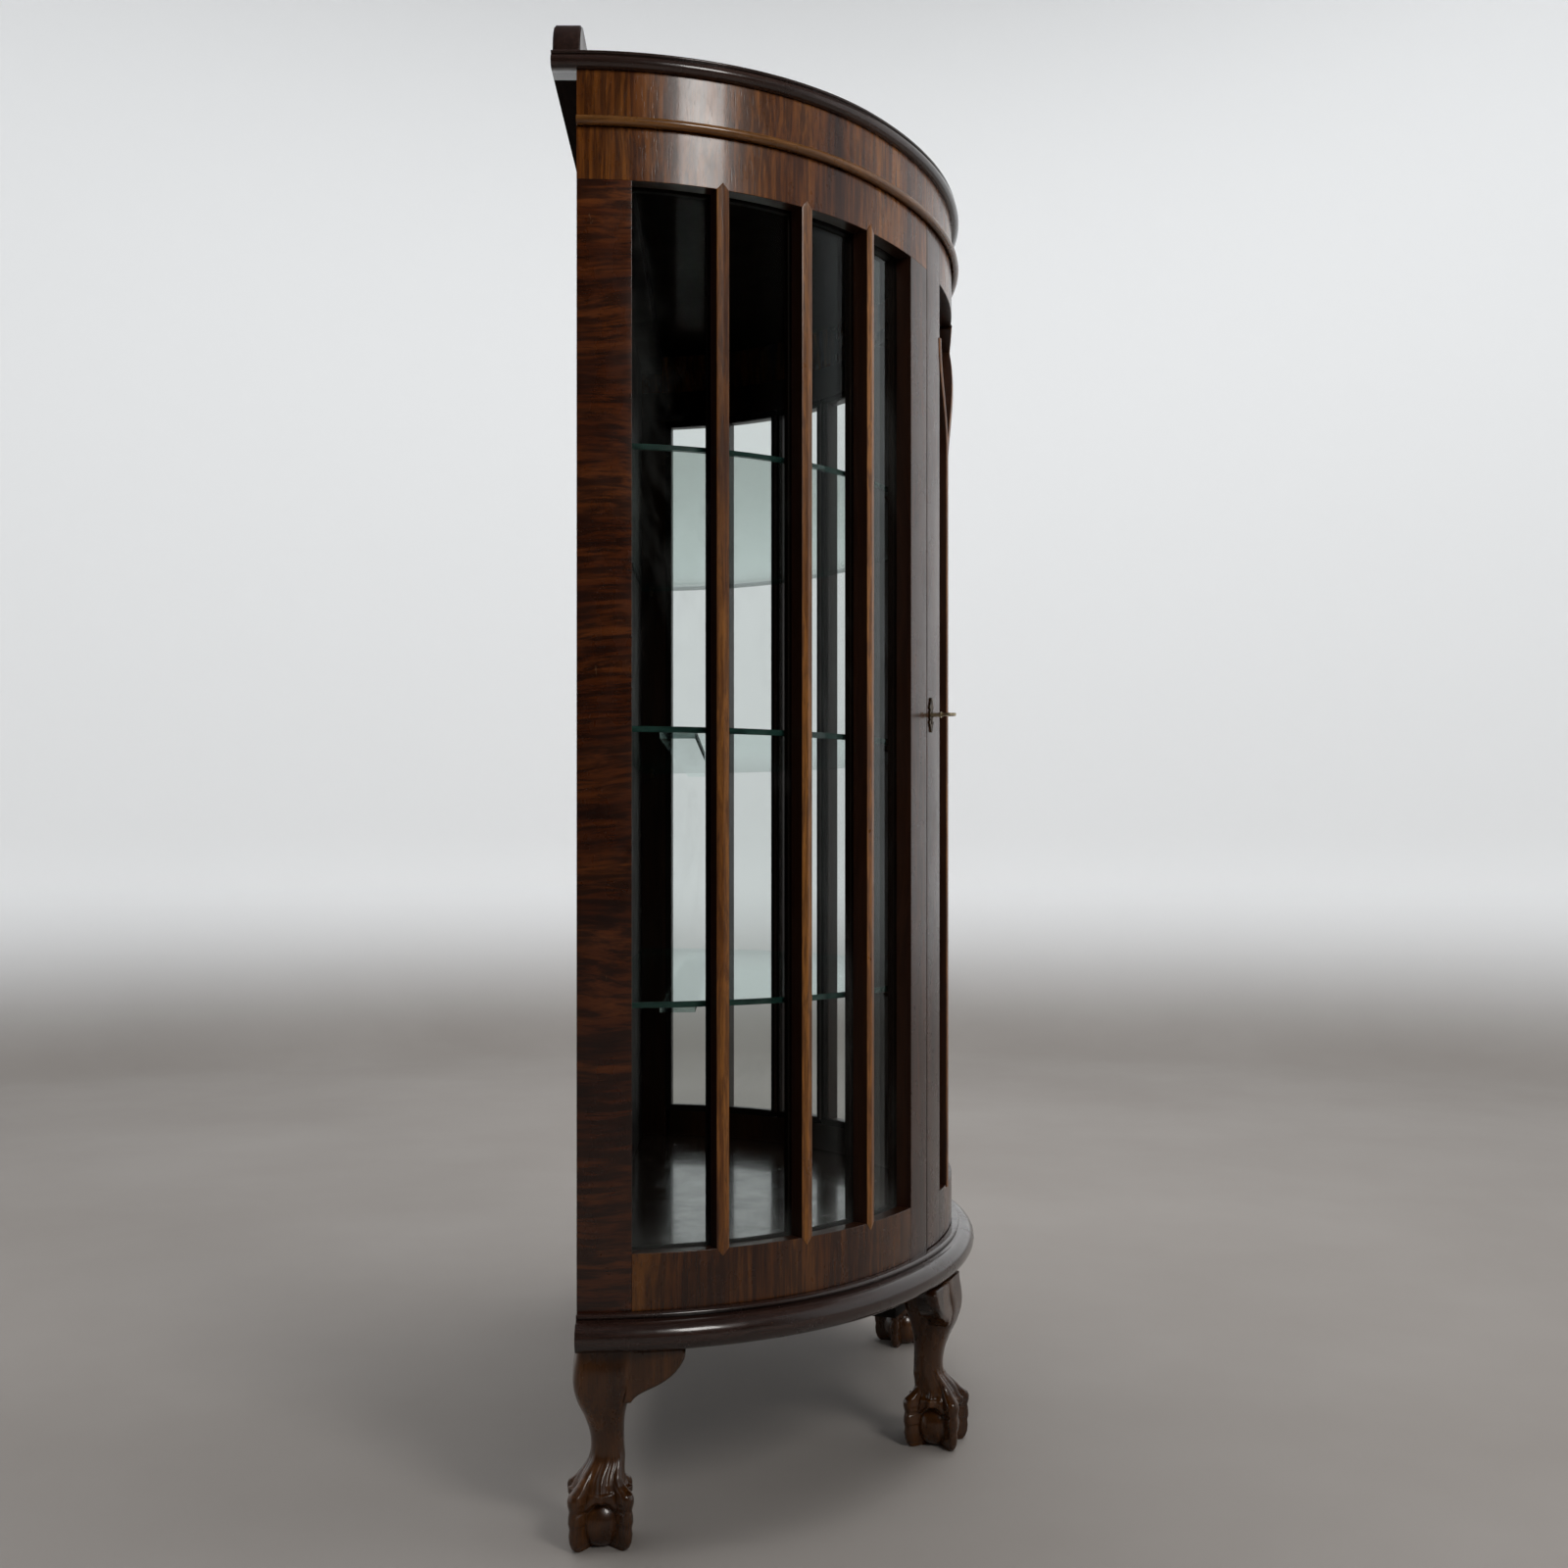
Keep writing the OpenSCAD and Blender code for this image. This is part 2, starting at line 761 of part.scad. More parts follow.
// Pierced plate round the keyhole
module escutcheon() {
    plate_t = 1.3;
    color(BRASS) difference() {
        intersection() {
            in_frame() strip(seam_s, door_open_s0, 0, plate_t, key_z - 30, key_z + 30);
            at_key() rotate([0, 90, 0]) translate([0, 0, -1]) union() {
                cylinder(r = 5.6, h = 6);
                for (end = [-1, 1]) {
                    translate([end * 8.5, 0, 0]) cylinder(r = 4.4, h = 6);
                    translate([end * 13.5, 0, 0]) cylinder(r = 2.6, h = 6);
                    for (side = [-1, 1]) translate([end * 7, side * 3.8, 0]) cylinder(r = 2, h = 6);
                }
            }
        }
        at_key() keyhole(-2, 4);
        at_key() rotate([0, 90, 0]) translate([0, 0, -1]) for (end = [-1, 1])
            translate([end * 13.5, 0, 0]) cylinder(r = 0.9, h = 6);
    }
}

module lock_case() {
    wall = 1.2;
    key_room = 8;
    color(BRASS) difference() {
        intersection() {
            at_key() translate([case_o[0] - 2, case_y[0], case_z[0] - key_z])
                cube([12, case_y[1] - case_y[0], case_z[1] - case_z[0]]);
            in_frame() strip(seam_s, door_open_s0, case_o[0], case_o[1], case_z[0], case_z[1]);
        }
        at_key() translate([case_o[0] + wall, 0, 0]) rotate([0, 90, 0])
            cylinder(r = key_room, h = case_o[1] - case_o[0] - 2 * wall);
        at_key() keyhole(case_o[0] + 1, 0);
        at_key() translate([
            bolt_o[0] - slide_slack, case_y[0] - 5, bolt_z[0] - key_z - slide_slack
        ]) cube([
            bolt_o[1] - bolt_o[0] + 2 * slide_slack,
            case_y[1] - case_y[0],
            bolt_z[1] - bolt_z[0] + 2 * slide_slack
        ]);
    }
}

// The bolt slides along local -y, out of the case's edge and behind the fixed stile
module lock_bolt() {
    bolt_y0 = -8;
    bolt_len = 22;
    color(BRASS) at_key() translate([bolt_o[0], bolt_y0, bolt_z[0] - key_z])
        cube([bolt_o[1] - bolt_o[0], bolt_len, bolt_z[1] - bolt_z[0]]);
}

// The key, a quarter turn from upright, so that its bow lies level
module key() {
    shank_end = 12;
    bow_r = 6.5;
    bow_t = 2.4;
    color("#b8a878") at_key() {
        translate([case_o[0] + 2, 0, 0]) rotate([0, 90, 0])
            cylinder(r = shank_r, h = shank_end - case_o[0] - 2);
        translate([case_o[0] + 2.5, 0, -0.8]) cube([5, 7, 1.6]);
        translate([shank_end - 3.5, 0, 0]) rotate([0, 90, 0]) cylinder(r = shank_r + 0.9, h = 2);
        translate([shank_end + bow_r - 0.8, 0, -bow_t / 2]) difference() {
            cylinder(r = bow_r, h = bow_t);
            translate([0, 0, -1]) cylinder(r = bow_r - 2.4, h = bow_t + 2);
        }
    }
}

// A brass loop on the fixed stile's inner face that receives the bolt
module bolt_keeper() {
    wall = 1.4;
    gap = 0.6;
    low = bolt_z[0] - gap - wall;
    high = bolt_z[1] + gap + wall;
    back = bolt_o[0] - gap - wall;
    color(BRASS) difference() {
        intersection() {
            in_frame() strip(seam_s - 20, fixed_s1 - 0.5, back, -frame_t, low - 6, high + 6);
            at_key() translate([back - 4, -key_in - 9, low - key_z - 6])
                cube([20, 7.5, high - low + 12]);
        }
        at_key() translate([bolt_o[0] - gap, -30, bolt_z[0] - gap - key_z])
            cube([bolt_o[1] - bolt_o[0] + 2 * gap, 60, bolt_z[1] - bolt_z[0] + 2 * gap]);
        for (z = [low - 7, high + 1.5]) at_key() translate([back - 5, -30, z - key_z])
            cube([5 - 1.5 + (-frame_t - back), 60, 5.5]);
    }
}

// ---------------------------------------------------------------- hinges

// Local frame of the hinges: x outward and y away from the door, at the right-hand seam
module at_hinge() {
    right_seam = plan_len - seam_s;
    at(right_seam) children();
}

// Cuts for the leaves and the knuckles: side 1 is the fixed stile, side -1 the door
module hinge_grooves(side) {
    depth_in = leaf_gap + leaf_t;
    for (z = hinge_zs) at_hinge()
        translate([-leaf_w, side > 0 ? 0 : -depth_in, z - leaf_h / 2])
            cube([leaf_w + 1, depth_in, leaf_h]);
}

// Leaves of one side, with the knuckles numbered in list
module hinge_leaves(side, list) {
    for (z = hinge_zs) at_hinge() difference() {
        union() {
            difference() {
                translate([-leaf_w, side > 0 ? leaf_gap : -leaf_gap - leaf_t, z - leaf_h / 2])
                    cube([leaf_w + hinge_out, leaf_t, leaf_h]);
                for (i = [0:2]) if (len(search(i, list)) == 0)
                    translate([hinge_out, 0, z - leaf_h / 2 + i * knuckle_h - knuckle_gap / 2])
                        cylinder(r = hinge_r + 0.4, h = knuckle_h + knuckle_gap);
            }
            for (i = list)
                translate([hinge_out, 0, z - leaf_h / 2 + i * knuckle_h + knuckle_gap / 2])
                    cylinder(r = hinge_r, h = knuckle_h - knuckle_gap);
        }
        translate([hinge_out, 0, z - leaf_h]) cylinder(r = pin_r + pin_slack, h = 2 * leaf_h);
        screw_places(z) rotate([side > 0 ? 90 : -90, 0, 0]) {
            translate([0, 0, -10]) cylinder(r = screw_r, h = 20);
            translate([0, 0, -leaf_gap - leaf_t])
                cylinder(r1 = screw_r, r2 = screw_head_r, h = leaf_t + small);
        }
    }
}

// Three screws to a leaf
module screw_places(z) {
    for (i = [-1:1]) translate([-leaf_w * 0.55, 0, z + i * leaf_h * 0.32]) children();
}

module hinge_screws(side) {
    length = 14;
    for (z = hinge_zs) at_hinge() screw_places(z) rotate([side > 0 ? 90 : -90, 0, 0])
        translate([0, 0, -leaf_gap - leaf_t]) {
            translate([0, 0, -length]) cylinder(r = screw_r, h = length + small);
            cylinder(r1 = screw_r, r2 = screw_head_r, h = leaf_t);
        }
}

module door_hinge_leaves() { color(BRASS) in_frame() hinge_leaves(-1, [1]); }
module frame_hinge_leaves() { color(BRASS) in_frame() hinge_leaves(1, [0, 2]); }
module door_hinge_screws() { color(BRASS) in_frame() hinge_screws(-1); }
module frame_hinge_screws() { color(BRASS) in_frame() hinge_screws(1); }

module hinge_pins() {
    cap = 1.2;
    color(BRASS) in_frame() for (z = hinge_zs) at_hinge()
        translate([hinge_out, 0, z - leaf_h / 2 - cap]) {
            cylinder(r = pin_r, h = leaf_h + 2 * cap);
            for (end = [0, leaf_h + cap]) translate([0, 0, end]) cylinder(r = hinge_r, h = cap);
        }
}

// ---------------------------------------------------------------- nodes

top_board();
top_edge();
upstand();
frieze();
frieze_bead();
rear_top_rail();
rear_base_rail();
back_panel();
back_panel_nails();
floor_board();
base_moulding();
door_stop();
rear_post();  // left_rear_post
front_stile();  // left_front_stile
side_top_rail();  // left_top_rail
side_bottom_rail();  // left_bottom_rail
side_glazing_bars();  // left_glazing_bars
side_glass();  // left_glass
side_glazing_beads();  // left_glazing_beads
right_side() rear_post();  // right_rear_post
right_front_stile();
right_side() side_top_rail();  // right_top_rail
right_side() side_bottom_rail();  // right_bottom_rail
right_side() side_glazing_bars();  // right_glazing_bars
right_side() side_glass();  // right_glass
right_side() side_glazing_beads();  // right_glazing_beads
shelf(shelf_zs[2]);  // top_shelf
shelf(shelf_zs[1]);  // middle_shelf
shelf(shelf_zs[0]);  // bottom_shelf
shelf_strips();
shelf_pins();
rear_left_leg();
front_left_leg();
front_right_leg();
rear_right_leg();
rear_left_ear();
front_left_ear();
front_right_ear();
rear_right_ear();
leg_blocks();
door_lock_stile();
door_hinge_stile();
door_top_rail();
door_bottom_rail();
door_astragals();
door_glass();
door_glazing_beads();
escutcheon();
lock_case();
lock_bolt();
key();
bolt_keeper();
door_hinge_leaves();
frame_hinge_leaves();
hinge_pins();
door_hinge_screws();
frame_hinge_screws();
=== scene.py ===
"""Looks for the half-oval display cabinet: smooth wood, carved legs, glass, brass, lights and camera."""

import json
import math

import bmesh
import bpy
import numpy as np
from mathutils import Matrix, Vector


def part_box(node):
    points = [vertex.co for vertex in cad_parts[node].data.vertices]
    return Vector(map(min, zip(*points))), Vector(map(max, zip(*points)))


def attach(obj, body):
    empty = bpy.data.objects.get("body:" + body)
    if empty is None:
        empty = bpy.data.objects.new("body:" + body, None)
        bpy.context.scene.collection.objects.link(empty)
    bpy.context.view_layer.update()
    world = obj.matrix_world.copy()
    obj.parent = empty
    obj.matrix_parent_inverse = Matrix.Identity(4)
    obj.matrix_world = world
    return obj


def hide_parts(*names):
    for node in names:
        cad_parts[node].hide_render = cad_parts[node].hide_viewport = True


# ---------------------------------------------------------------- sizes, in metres, as in part.scad

HALF_W = 0.421
DEPTH = 0.348
END_ANGLE = math.radians(52.5)
REAR_CUT = 0.004
CENTRE_Y = 0.177
FRAME_T = 0.022
GLASS_DEPTH = 0.014
PANE_T = 0.003
POST_W = 0.048
PANE_W = 0.0697
BAR_W = 0.0107
STILE_W = 0.0404
DOOR_STILE_W = 0.0434
SEAM_GAP = 0.0012
DOOR_CLEAR = 0.001
LEG_H = 0.158
LEG_HEAD = 0.050
BASE_TOP = 0.187
OPEN_Z0 = 0.233
OPEN_Z1 = 1.087
RAIL_TOP = 1.129
BEAD_TOP = 1.1365
CARCASE_TOP = 1.174
TOP_Z = 1.188
TOP_OVER = 0.007
BASE_OVER = 0.022
TOP_REAR = 0.016
REBATE = 0.006
ASTRAGAL_X = 0.124
SPLIT_Z = 0.944
APEX_Z = 1.066
ASTRAGAL_W = 0.009
SHELF_T = 0.005
SHELF_IN = 0.025
PANEL_T = 0.005

ARC_K = (1 - math.sin(END_ANGLE)) / math.cos(END_ANGLE)
END_R = (DEPTH - HALF_W * ARC_K) / (1 - ARC_K)
FRONT_R = END_R + (HALF_W - END_R) / math.cos(END_ANGLE)
END_X = HALF_W - END_R
FRONT_Y = FRONT_R - DEPTH
END_LEN = END_R * END_ANGLE
PLAN_LEN = 2 * END_LEN + FRONT_R * (math.pi - 2 * END_ANGLE)
BAR_STEP = PANE_W + BAR_W
STILE_S = POST_W + 4 * PANE_W + 3 * BAR_W
SEAM_S = STILE_S + STILE_W
FIXED_S1 = SEAM_S - SEAM_GAP / 2
DOOR_S0 = SEAM_S + SEAM_GAP / 2
DOOR_OPEN_S0 = DOOR_S0 + DOOR_STILE_W
MIDDLE_S = PLAN_LEN / 2


def plan(s, out=0.0):
    """(x, y) of the carcase's face at length s along the curve, moved outwards, and the normal's angle."""
    if s < END_LEN:
        cx, cy, r, angle = -END_X, 0.0, END_R, math.pi + s / END_R
    elif s < PLAN_LEN - END_LEN:
        cx, cy, r, angle = 0.0, FRONT_Y, FRONT_R, math.pi + END_ANGLE + (s - END_LEN) / FRONT_R
    else:
        cx, cy, r, angle = END_X, 0.0, END_R, 2 * math.pi - (PLAN_LEN - s) / END_R
    x = cx + (r + out) * math.cos(angle)
    y = cy + (r + out) * math.sin(angle) + CENTRE_Y
    return x, y, angle


def outward_at(x, y):
    """The carcase's outward direction near a point given from the arcs' centre line."""
    if math.atan2(-y, abs(x) - END_X) < END_ANGLE:
        across = Vector((abs(x) - END_X, y, 0)).normalized()
        return Vector((math.copysign(across.x, x), across.y, 0))
    return Vector((x, y - FRONT_Y, 0)).normalized()


def point(s, out, z):
    return (*plan(s, out)[:2], z)


# ---------------------------------------------------------------- mesh helpers


def make_object(name, vertices, faces, material, body, nodes, uvs, sharp):
    """A smooth-shaded mesh piece that rides on a body and stands for CAD nodes."""
    mesh = bpy.data.meshes.new(name)
    mesh.from_pydata([tuple(v) for v in vertices], [], faces)
    layer = mesh.uv_layers.new(name="grain")
    for loop in mesh.loops:
        layer.data[loop.index].uv = uvs[loop.vertex_index]
    mesh.polygons.foreach_set("use_smooth", [True] * len(mesh.polygons))
    if sharp:
        edges = {tuple(sorted(e)) for e in sharp}
        for edge in mesh.edges:
            if tuple(sorted(edge.vertices)) in edges:
                edge.use_edge_sharp = True
    mesh.update()
    obj = bpy.data.objects.new(name, mesh)
    bpy.context.scene.collection.objects.link(obj)
    mesh.materials.append(material)
    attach(obj, body)
    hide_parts(*nodes)
    return obj


def signed_volume(vertices, faces):
    """Six times the volume inside closed faces, negative when they are wound inwards."""
    total = 0.0
    for face in faces:
        a = Vector(vertices[face[0]])
        for i in range(1, len(face) - 1):
            total += a.dot(Vector(vertices[face[i]]).cross(Vector(vertices[face[i + 1]])))
    return total


def join_parts(parts):
    """Joins (vertices, faces, uvs, sharp) parts into one."""
    vertices, faces, uvs, sharp = [], [], [], []
    for part_vertices, part_faces, part_uvs, part_sharp in parts:
        base = len(vertices)
        vertices += part_vertices
        turned = signed_volume(part_vertices, part_faces) < 0
        for face in part_faces:
            order = reversed(face) if turned else face
            faces.append(tuple(i + base for i in order))
        uvs += part_uvs
        sharp += [(a + base, b + base) for a, b in part_sharp]
    return vertices, faces, uvs, sharp


def rounded(section, radius, steps):
    """A closed section with each corner rounded."""
    count = len(section)
    result = []
    for i, corner in enumerate(section):
        before = Vector(section[i - 1]) - Vector(corner)
        after = Vector(section[(i + 1) % count]) - Vector(corner)
        reach = min(radius, before.length * 0.45, after.length * 0.45)
        start = Vector(corner) + before.normalized() * reach
        end = Vector(corner) + after.normalized() * reach
        for k in range(steps + 1):
            t = k / steps
            p = start.lerp(Vector(corner), t).lerp(Vector(corner).lerp(end, t), t)
            result.append((p.x, p.y))
    return result


def arc_points(centre, radius, start, end, steps):
    return [
        (
            centre[0] + radius * math.cos(math.radians(start + (end - start) * i / steps)),
            centre[1] + radius * math.sin(math.radians(start + (end - start) * i / steps)),
        )
        for i in range(steps + 1)
    ]


def rectangle(o0, o1, z0, z1):
    return [(o0, z0), (o1, z0), (o1, z1), (o0, z1)]


def sweep(section, s0, s1, spacing=0.005):
    """A closed section, (out, z), swept along the curve from s0 to s1, with flat ends."""
    steps = max(1, int(math.ceil(abs(s1 - s0) / spacing)))
    count = len(section)
    around = [0.0]
    for i in range(1, count):
        around.append(around[-1] + (Vector(section[i]) - Vector(section[i - 1])).length)
    vertices, uvs, faces, sharp = [], [], [], []
    for k in range(steps + 1):
        s = s0 + (s1 - s0) * k / steps
        for i, (out, z) in enumerate(section):
            vertices.append(point(s, out, z))
            uvs.append((s, around[i]))
    for k in range(steps):
        for i in range(count):
            j = (i + 1) % count
            faces.append((k * count + i, k * count + j, (k + 1) * count + j, (k + 1) * count + i))
    for k, flip in ((0, True), (steps, False)):
        ring = [k * count + i for i in range(count)]
        faces.append(tuple(ring if flip else reversed(ring)))
        sharp += [(ring[i], ring[(i + 1) % count]) for i in range(count)]
    return vertices, faces, uvs, sharp


def add_weighted_normals(obj):
    modifier = obj.modifiers.new("normals", "WEIGHTED_NORMAL")
    modifier.keep_sharp = True
    return obj


# Least agreement with the outward direction for a polygon to count as part of the front face
FACES_OUT = 0.6


def build(name, parts, material, body, nodes, shaded_side_material=None):
    """One piece from parts. Faces that turn away from the curve's outward normal take the second material, a
    darker wood that paints shade on the sides and backs.
    """
    vertices, faces, uvs, sharp = join_parts(parts)
    obj = make_object(name, vertices, faces, material, body, nodes, uvs, sharp)
    if shaded_side_material:
        obj.data.materials.append(shaded_side_material)
        # painted shade on every face that does not face outwards
        for polygon in obj.data.polygons:
            outward = outward_at(polygon.center.x, polygon.center.y - CENTRE_Y)
            if polygon.normal.dot(outward) < FACES_OUT:
                polygon.material_index = 1
    return add_weighted_normals(obj)


def mirrored(parts):
    """The same parts on the right-hand side of the cabinet."""
    result = []
    for vertices, faces, uvs, sharp in parts:
        result.append((
            [(-x, y, z) for x, y, z in vertices],
            [tuple(reversed(face)) for face in faces],
            uvs,
            sharp,
        ))
    return result


# ---------------------------------------------------------------- materials


class Graph:
    """Short names for building a node material."""

    def __init__(self, name):
        self.material = bpy.data.materials.new(name)
        self.material.use_nodes = True
        self.tree = self.material.node_tree
        self.tree.nodes.clear()
        self.output = self.tree.nodes.new("ShaderNodeOutputMaterial")

    def node(self, kind, inputs=None, **settings):
        made = self.tree.nodes.new("ShaderNode" + kind)
        for key, value in settings.items():
            setattr(made, key, value)
        for key, value in (inputs or {}).items():
            self.put(made.inputs[key], value)
        return made

    def put(self, socket, value):
        if isinstance(value, bpy.types.NodeSocket):
            self.tree.links.new(value, socket)
        else:
            socket.default_value = value

    def maths(self, operation, a, b=0.0, clamp=False):
        made = self.node("Math", operation=operation, use_clamp=clamp)
        self.put(made.inputs[0], a)
        self.put(made.inputs[1], b)
        return made.outputs[0]

    def mix(self, factor, a, b, blend="MIX"):
        made = self.node("Mix", data_type="RGBA", blend_type=blend)
        self.put(made.inputs[0], factor)
        self.put(made.inputs[6], a)
        self.put(made.inputs[7], b)
        return made.outputs[2]

    def ramp(self, factor, stops):
        made = self.node("ValToRGB")
        elements = made.color_ramp.elements
        while len(elements) < len(stops):
            elements.new(0.5)
        for element, (place, colour) in zip(elements, stops):
            element.position = place
            element.color = colour if len(colour) == 4 else (*colour, 1)
        self.put(made.inputs[0], factor)
        return made.outputs[0]

    def step(self, value, low, high):
        """0 below low and 1 above high, smooth between them."""
        made = self.node("MapRange", interpolation_type="SMOOTHSTEP")
        self.put(made.inputs[0], value)
        self.put(made.inputs[1], low)
        self.put(made.inputs[2], high)
        return made.outputs[0]

    def noise(self, vector, scale, detail=3.0, roughness=0.5, distortion=0.0):
        made = self.node("TexNoise")
        self.put(made.inputs["Vector"], vector)
        self.put(made.inputs["Scale"], scale)
        self.put(made.inputs["Detail"], detail)
        self.put(made.inputs["Roughness"], roughness)
        self.put(made.inputs["Distortion"], distortion)
        return made.outputs[0]

    def stretched(self, vector, scale):
        made = self.node("Mapping")
        self.put(made.inputs["Vector"], vector)
        self.put(made.inputs["Scale"], scale)
        return made.outputs[0]

    def shifted(self, vector, scale, location):
        made = self.node("Mapping")
        self.put(made.inputs["Vector"], vector)
        self.put(made.inputs["Scale"], scale)
        self.put(made.inputs["Location"], location)
        return made.outputs[0]

    def object_coordinates(self):
        return self.node("TexCoord").outputs["Object"]

    def finish(self, shader):
        self.tree.links.new(shader, self.output.inputs["Surface"])
        return self.material


def grey(v):
    return (v, v, v, 1)


# How each way of laying the grain stretches object coordinates, or the swept UVs
GRAIN = {
    "upright": (1.0, 1.0, 0.055),
    "level": (1.0, 0.07, 1.0),
    "across": (0.07, 1.0, 1.0),
    "along": (0.05, 1.0, 1.0),
}


def wood(name, light, mid, dark, grain, figure, contrast, gloss, coat, streaks,
         burr=0.0, grime=0.25, wear=0.0, pore=0.45, specular=0.35, low=1.0):
    """Polished veneer: broad figure, fine streaks, pores, cloudy ageing and small scuffs in the polish.

    low is how bright the colour is near the floor, against 1 at the top: painted shade, darker towards the
    floor."""
    g = Graph(name)
    place = g.object_coordinates()
    if grain == "along":
        place = g.node("UVMap", uv_map="grain").outputs[0]
    stretch = GRAIN[grain]
    warp = g.noise(place, 5.0, 2.0)
    wobble = g.node("VectorMath", operation="MULTIPLY_ADD")
    g.put(wobble.inputs[0], warp)
    wobble.inputs[1].default_value = (0.03 + burr * 0.05,) * 3
    g.put(wobble.inputs[2], place)
    lie = g.stretched(wobble.outputs[0], stretch)
    broad = g.noise(lie, figure, 4.0, 0.6, 0.5 + 2.2 * burr)
    base = g.ramp(broad, [(0.30, dark), (0.30 + 0.22 * contrast, mid), (0.72, light)])
    line = g.noise(lie, figure * 7.5, 4.0, 0.65, 0.3)
    dark_line = g.step(line, 0.62, 0.40)
    base = g.mix(g.maths("MULTIPLY", dark_line, streaks), base, (*dark, 1))
    fine = g.noise(lie, figure * 42, 2.0, 0.6)
    base = g.mix(0.34, base, g.ramp(fine, [(0.30, grey(0.35)), (0.62, grey(1.0))]), "MULTIPLY")
    if burr:
        knots = g.node("TexVoronoi", feature="SMOOTH_F1")
        g.put(knots.inputs["Vector"], wobble.outputs[0])
        knots.inputs["Scale"].default_value = 46.0
        eye = g.step(knots.outputs["Distance"], 0.30, 0.05)
        base = g.mix(g.maths("MULTIPLY", eye, burr * 0.6), base, (*dark, 1))
    pore_place = g.shifted(place, tuple(max(v, 0.09) for v in stretch), (0.3, 0.1, 0.2))
    pores = g.step(g.noise(pore_place, 900.0, 1.0, 0.4), 0.64, 0.74)
    base = g.mix(g.maths("MULTIPLY", pores, pore), base, (*(c * 0.35 for c in dark), 1))
    cloud = g.noise(g.shifted(place, (1, 1, 1), (2.1, 0.4, 1.7)), 6.0, 3.0, 0.6)
    base = g.mix(grime, base, g.ramp(cloud, [(0.32, grey(0.45)), (0.64, grey(1.0))]), "MULTIPLY")
    if wear:
        scuff_place = g.shifted(place, (1, 1, 0.3), (0.7, 0.2, 0.9))
        scuff = g.step(g.noise(scuff_place, 150.0, 4.0, 0.7), 0.685, 0.72)
        base = g.mix(g.maths("MULTIPLY", scuff, wear), base, (0.42, 0.27, 0.15, 1))
    # painted shade: the colour darkens towards the floor, down to low near z 0.15
    if low < 1:
        rise = g.step(g.node("SeparateXYZ", {"Vector": place}).outputs[2], 0.15, 1.15)
        base = g.mix(1.0, base, g.ramp(rise, [(0.0, grey(low)), (1.0, grey(1.0))]), "MULTIPLY")
    smear = g.noise(g.shifted(place, (1, 1, 0.6), (0.9, 1.9, 0.3)), 24.0, 4.0, 0.65)
    rough = g.node("MapRange")
    g.put(rough.inputs[0], smear)
    rough.inputs[1].default_value = 0.3
    rough.inputs[2].default_value = 0.7
    rough.inputs[3].default_value = gloss
    rough.inputs[4].default_value = gloss + 0.16
    bump = g.node("Bump")
    bump.inputs["Strength"].default_value = 0.12
    bump.inputs["Distance"].default_value = 0.0004
    height = g.maths("SUBTRACT", g.maths("MULTIPLY", fine, 0.35), g.maths("MULTIPLY", pores, pore * 2))
    g.put(bump.inputs["Height"], height)
    ripple = g.node("Bump")
    ripple.inputs["Strength"].default_value = 0.10
    ripple.inputs["Distance"].default_value = 0.002
    g.put(ripple.inputs["Height"], g.noise(g.shifted(place, (1, 1, 0.5), (3.0, 1.0, 2.0)), 16.0, 2.0))
    g.put(bump.inputs["Normal"], ripple.outputs[0])
    shader = g.node("BsdfPrincipled")
    g.put(shader.inputs["Base Color"], base)
    g.put(shader.inputs["Roughness"], rough.outputs[0])
    g.put(shader.inputs["Normal"], bump.outputs[0])
    shader.inputs["Specular IOR Level"].default_value = specular
    shader.inputs["Coat Weight"].default_value = coat
    shader.inputs["Coat Roughness"].default_value = 0.08
    g.put(shader.inputs["Coat Normal"], ripple.outputs[0])
    return g.finish(shader.outputs[0])


def thin_glass(name, tint, grime, floor_z):
    """Clear glass with gloss by angle, a faint film, and pale grey specks and haze along the bottom edge that
    are a painted reflection.
    """
    g = Graph(name)
    place = g.object_coordinates()
    clear = g.node("BsdfTransparent", {"Color": tint})
    gloss = g.node("BsdfGlossy", {"Color": (0.9, 0.95, 0.94, 1), "Roughness": 0.02})
    facing = g.node("LayerWeight", {"Blend": 0.5}).outputs["Facing"]
    edge = g.maths("ADD", g.maths("MULTIPLY", g.maths("POWER", facing, 4.0), 0.95), 0.0002)
    film = g.noise(g.shifted(place, (1, 1, 0.5), (0.2, 0.7, 0.4)), 9.0, 5.0, 0.7, 0.6)
    body = g.node("MixShader")
    g.put(body.inputs[0], edge)
    g.put(body.inputs[1], clear.outputs[0])
    g.put(body.inputs[2], gloss.outputs[0])
    split = g.node("SeparateXYZ", {"Vector": place})
    # painted reflection: pale grey specks and haze in a band 30 mm high along the bottom edge
    low = g.step(split.outputs[2], floor_z + 0.030, floor_z - 0.006)
    reflection_speck = g.step(g.noise(place, 170.0, 6.0, 0.8), 0.60, 0.80)
    smear = g.step(film, 0.52, 0.74)
    film_and_painted_reflection = g.maths("ADD", g.maths("MULTIPLY", smear, 0.05),
                   g.maths("MULTIPLY", low, g.maths("ADD", g.maths("MULTIPLY", reflection_speck, 0.5), 0.06)))
    pale_layer = g.node("BsdfDiffuse", {"Color": (0.42, 0.44, 0.42, 1)})
    mixed = g.node("MixShader")
    g.put(mixed.inputs[0], g.maths("MULTIPLY", film_and_painted_reflection, grime, clamp=True))
    g.put(mixed.inputs[1], body.outputs[0])
    g.put(mixed.inputs[2], pale_layer.outputs[0])
    return g.finish(mixed.outputs[0])


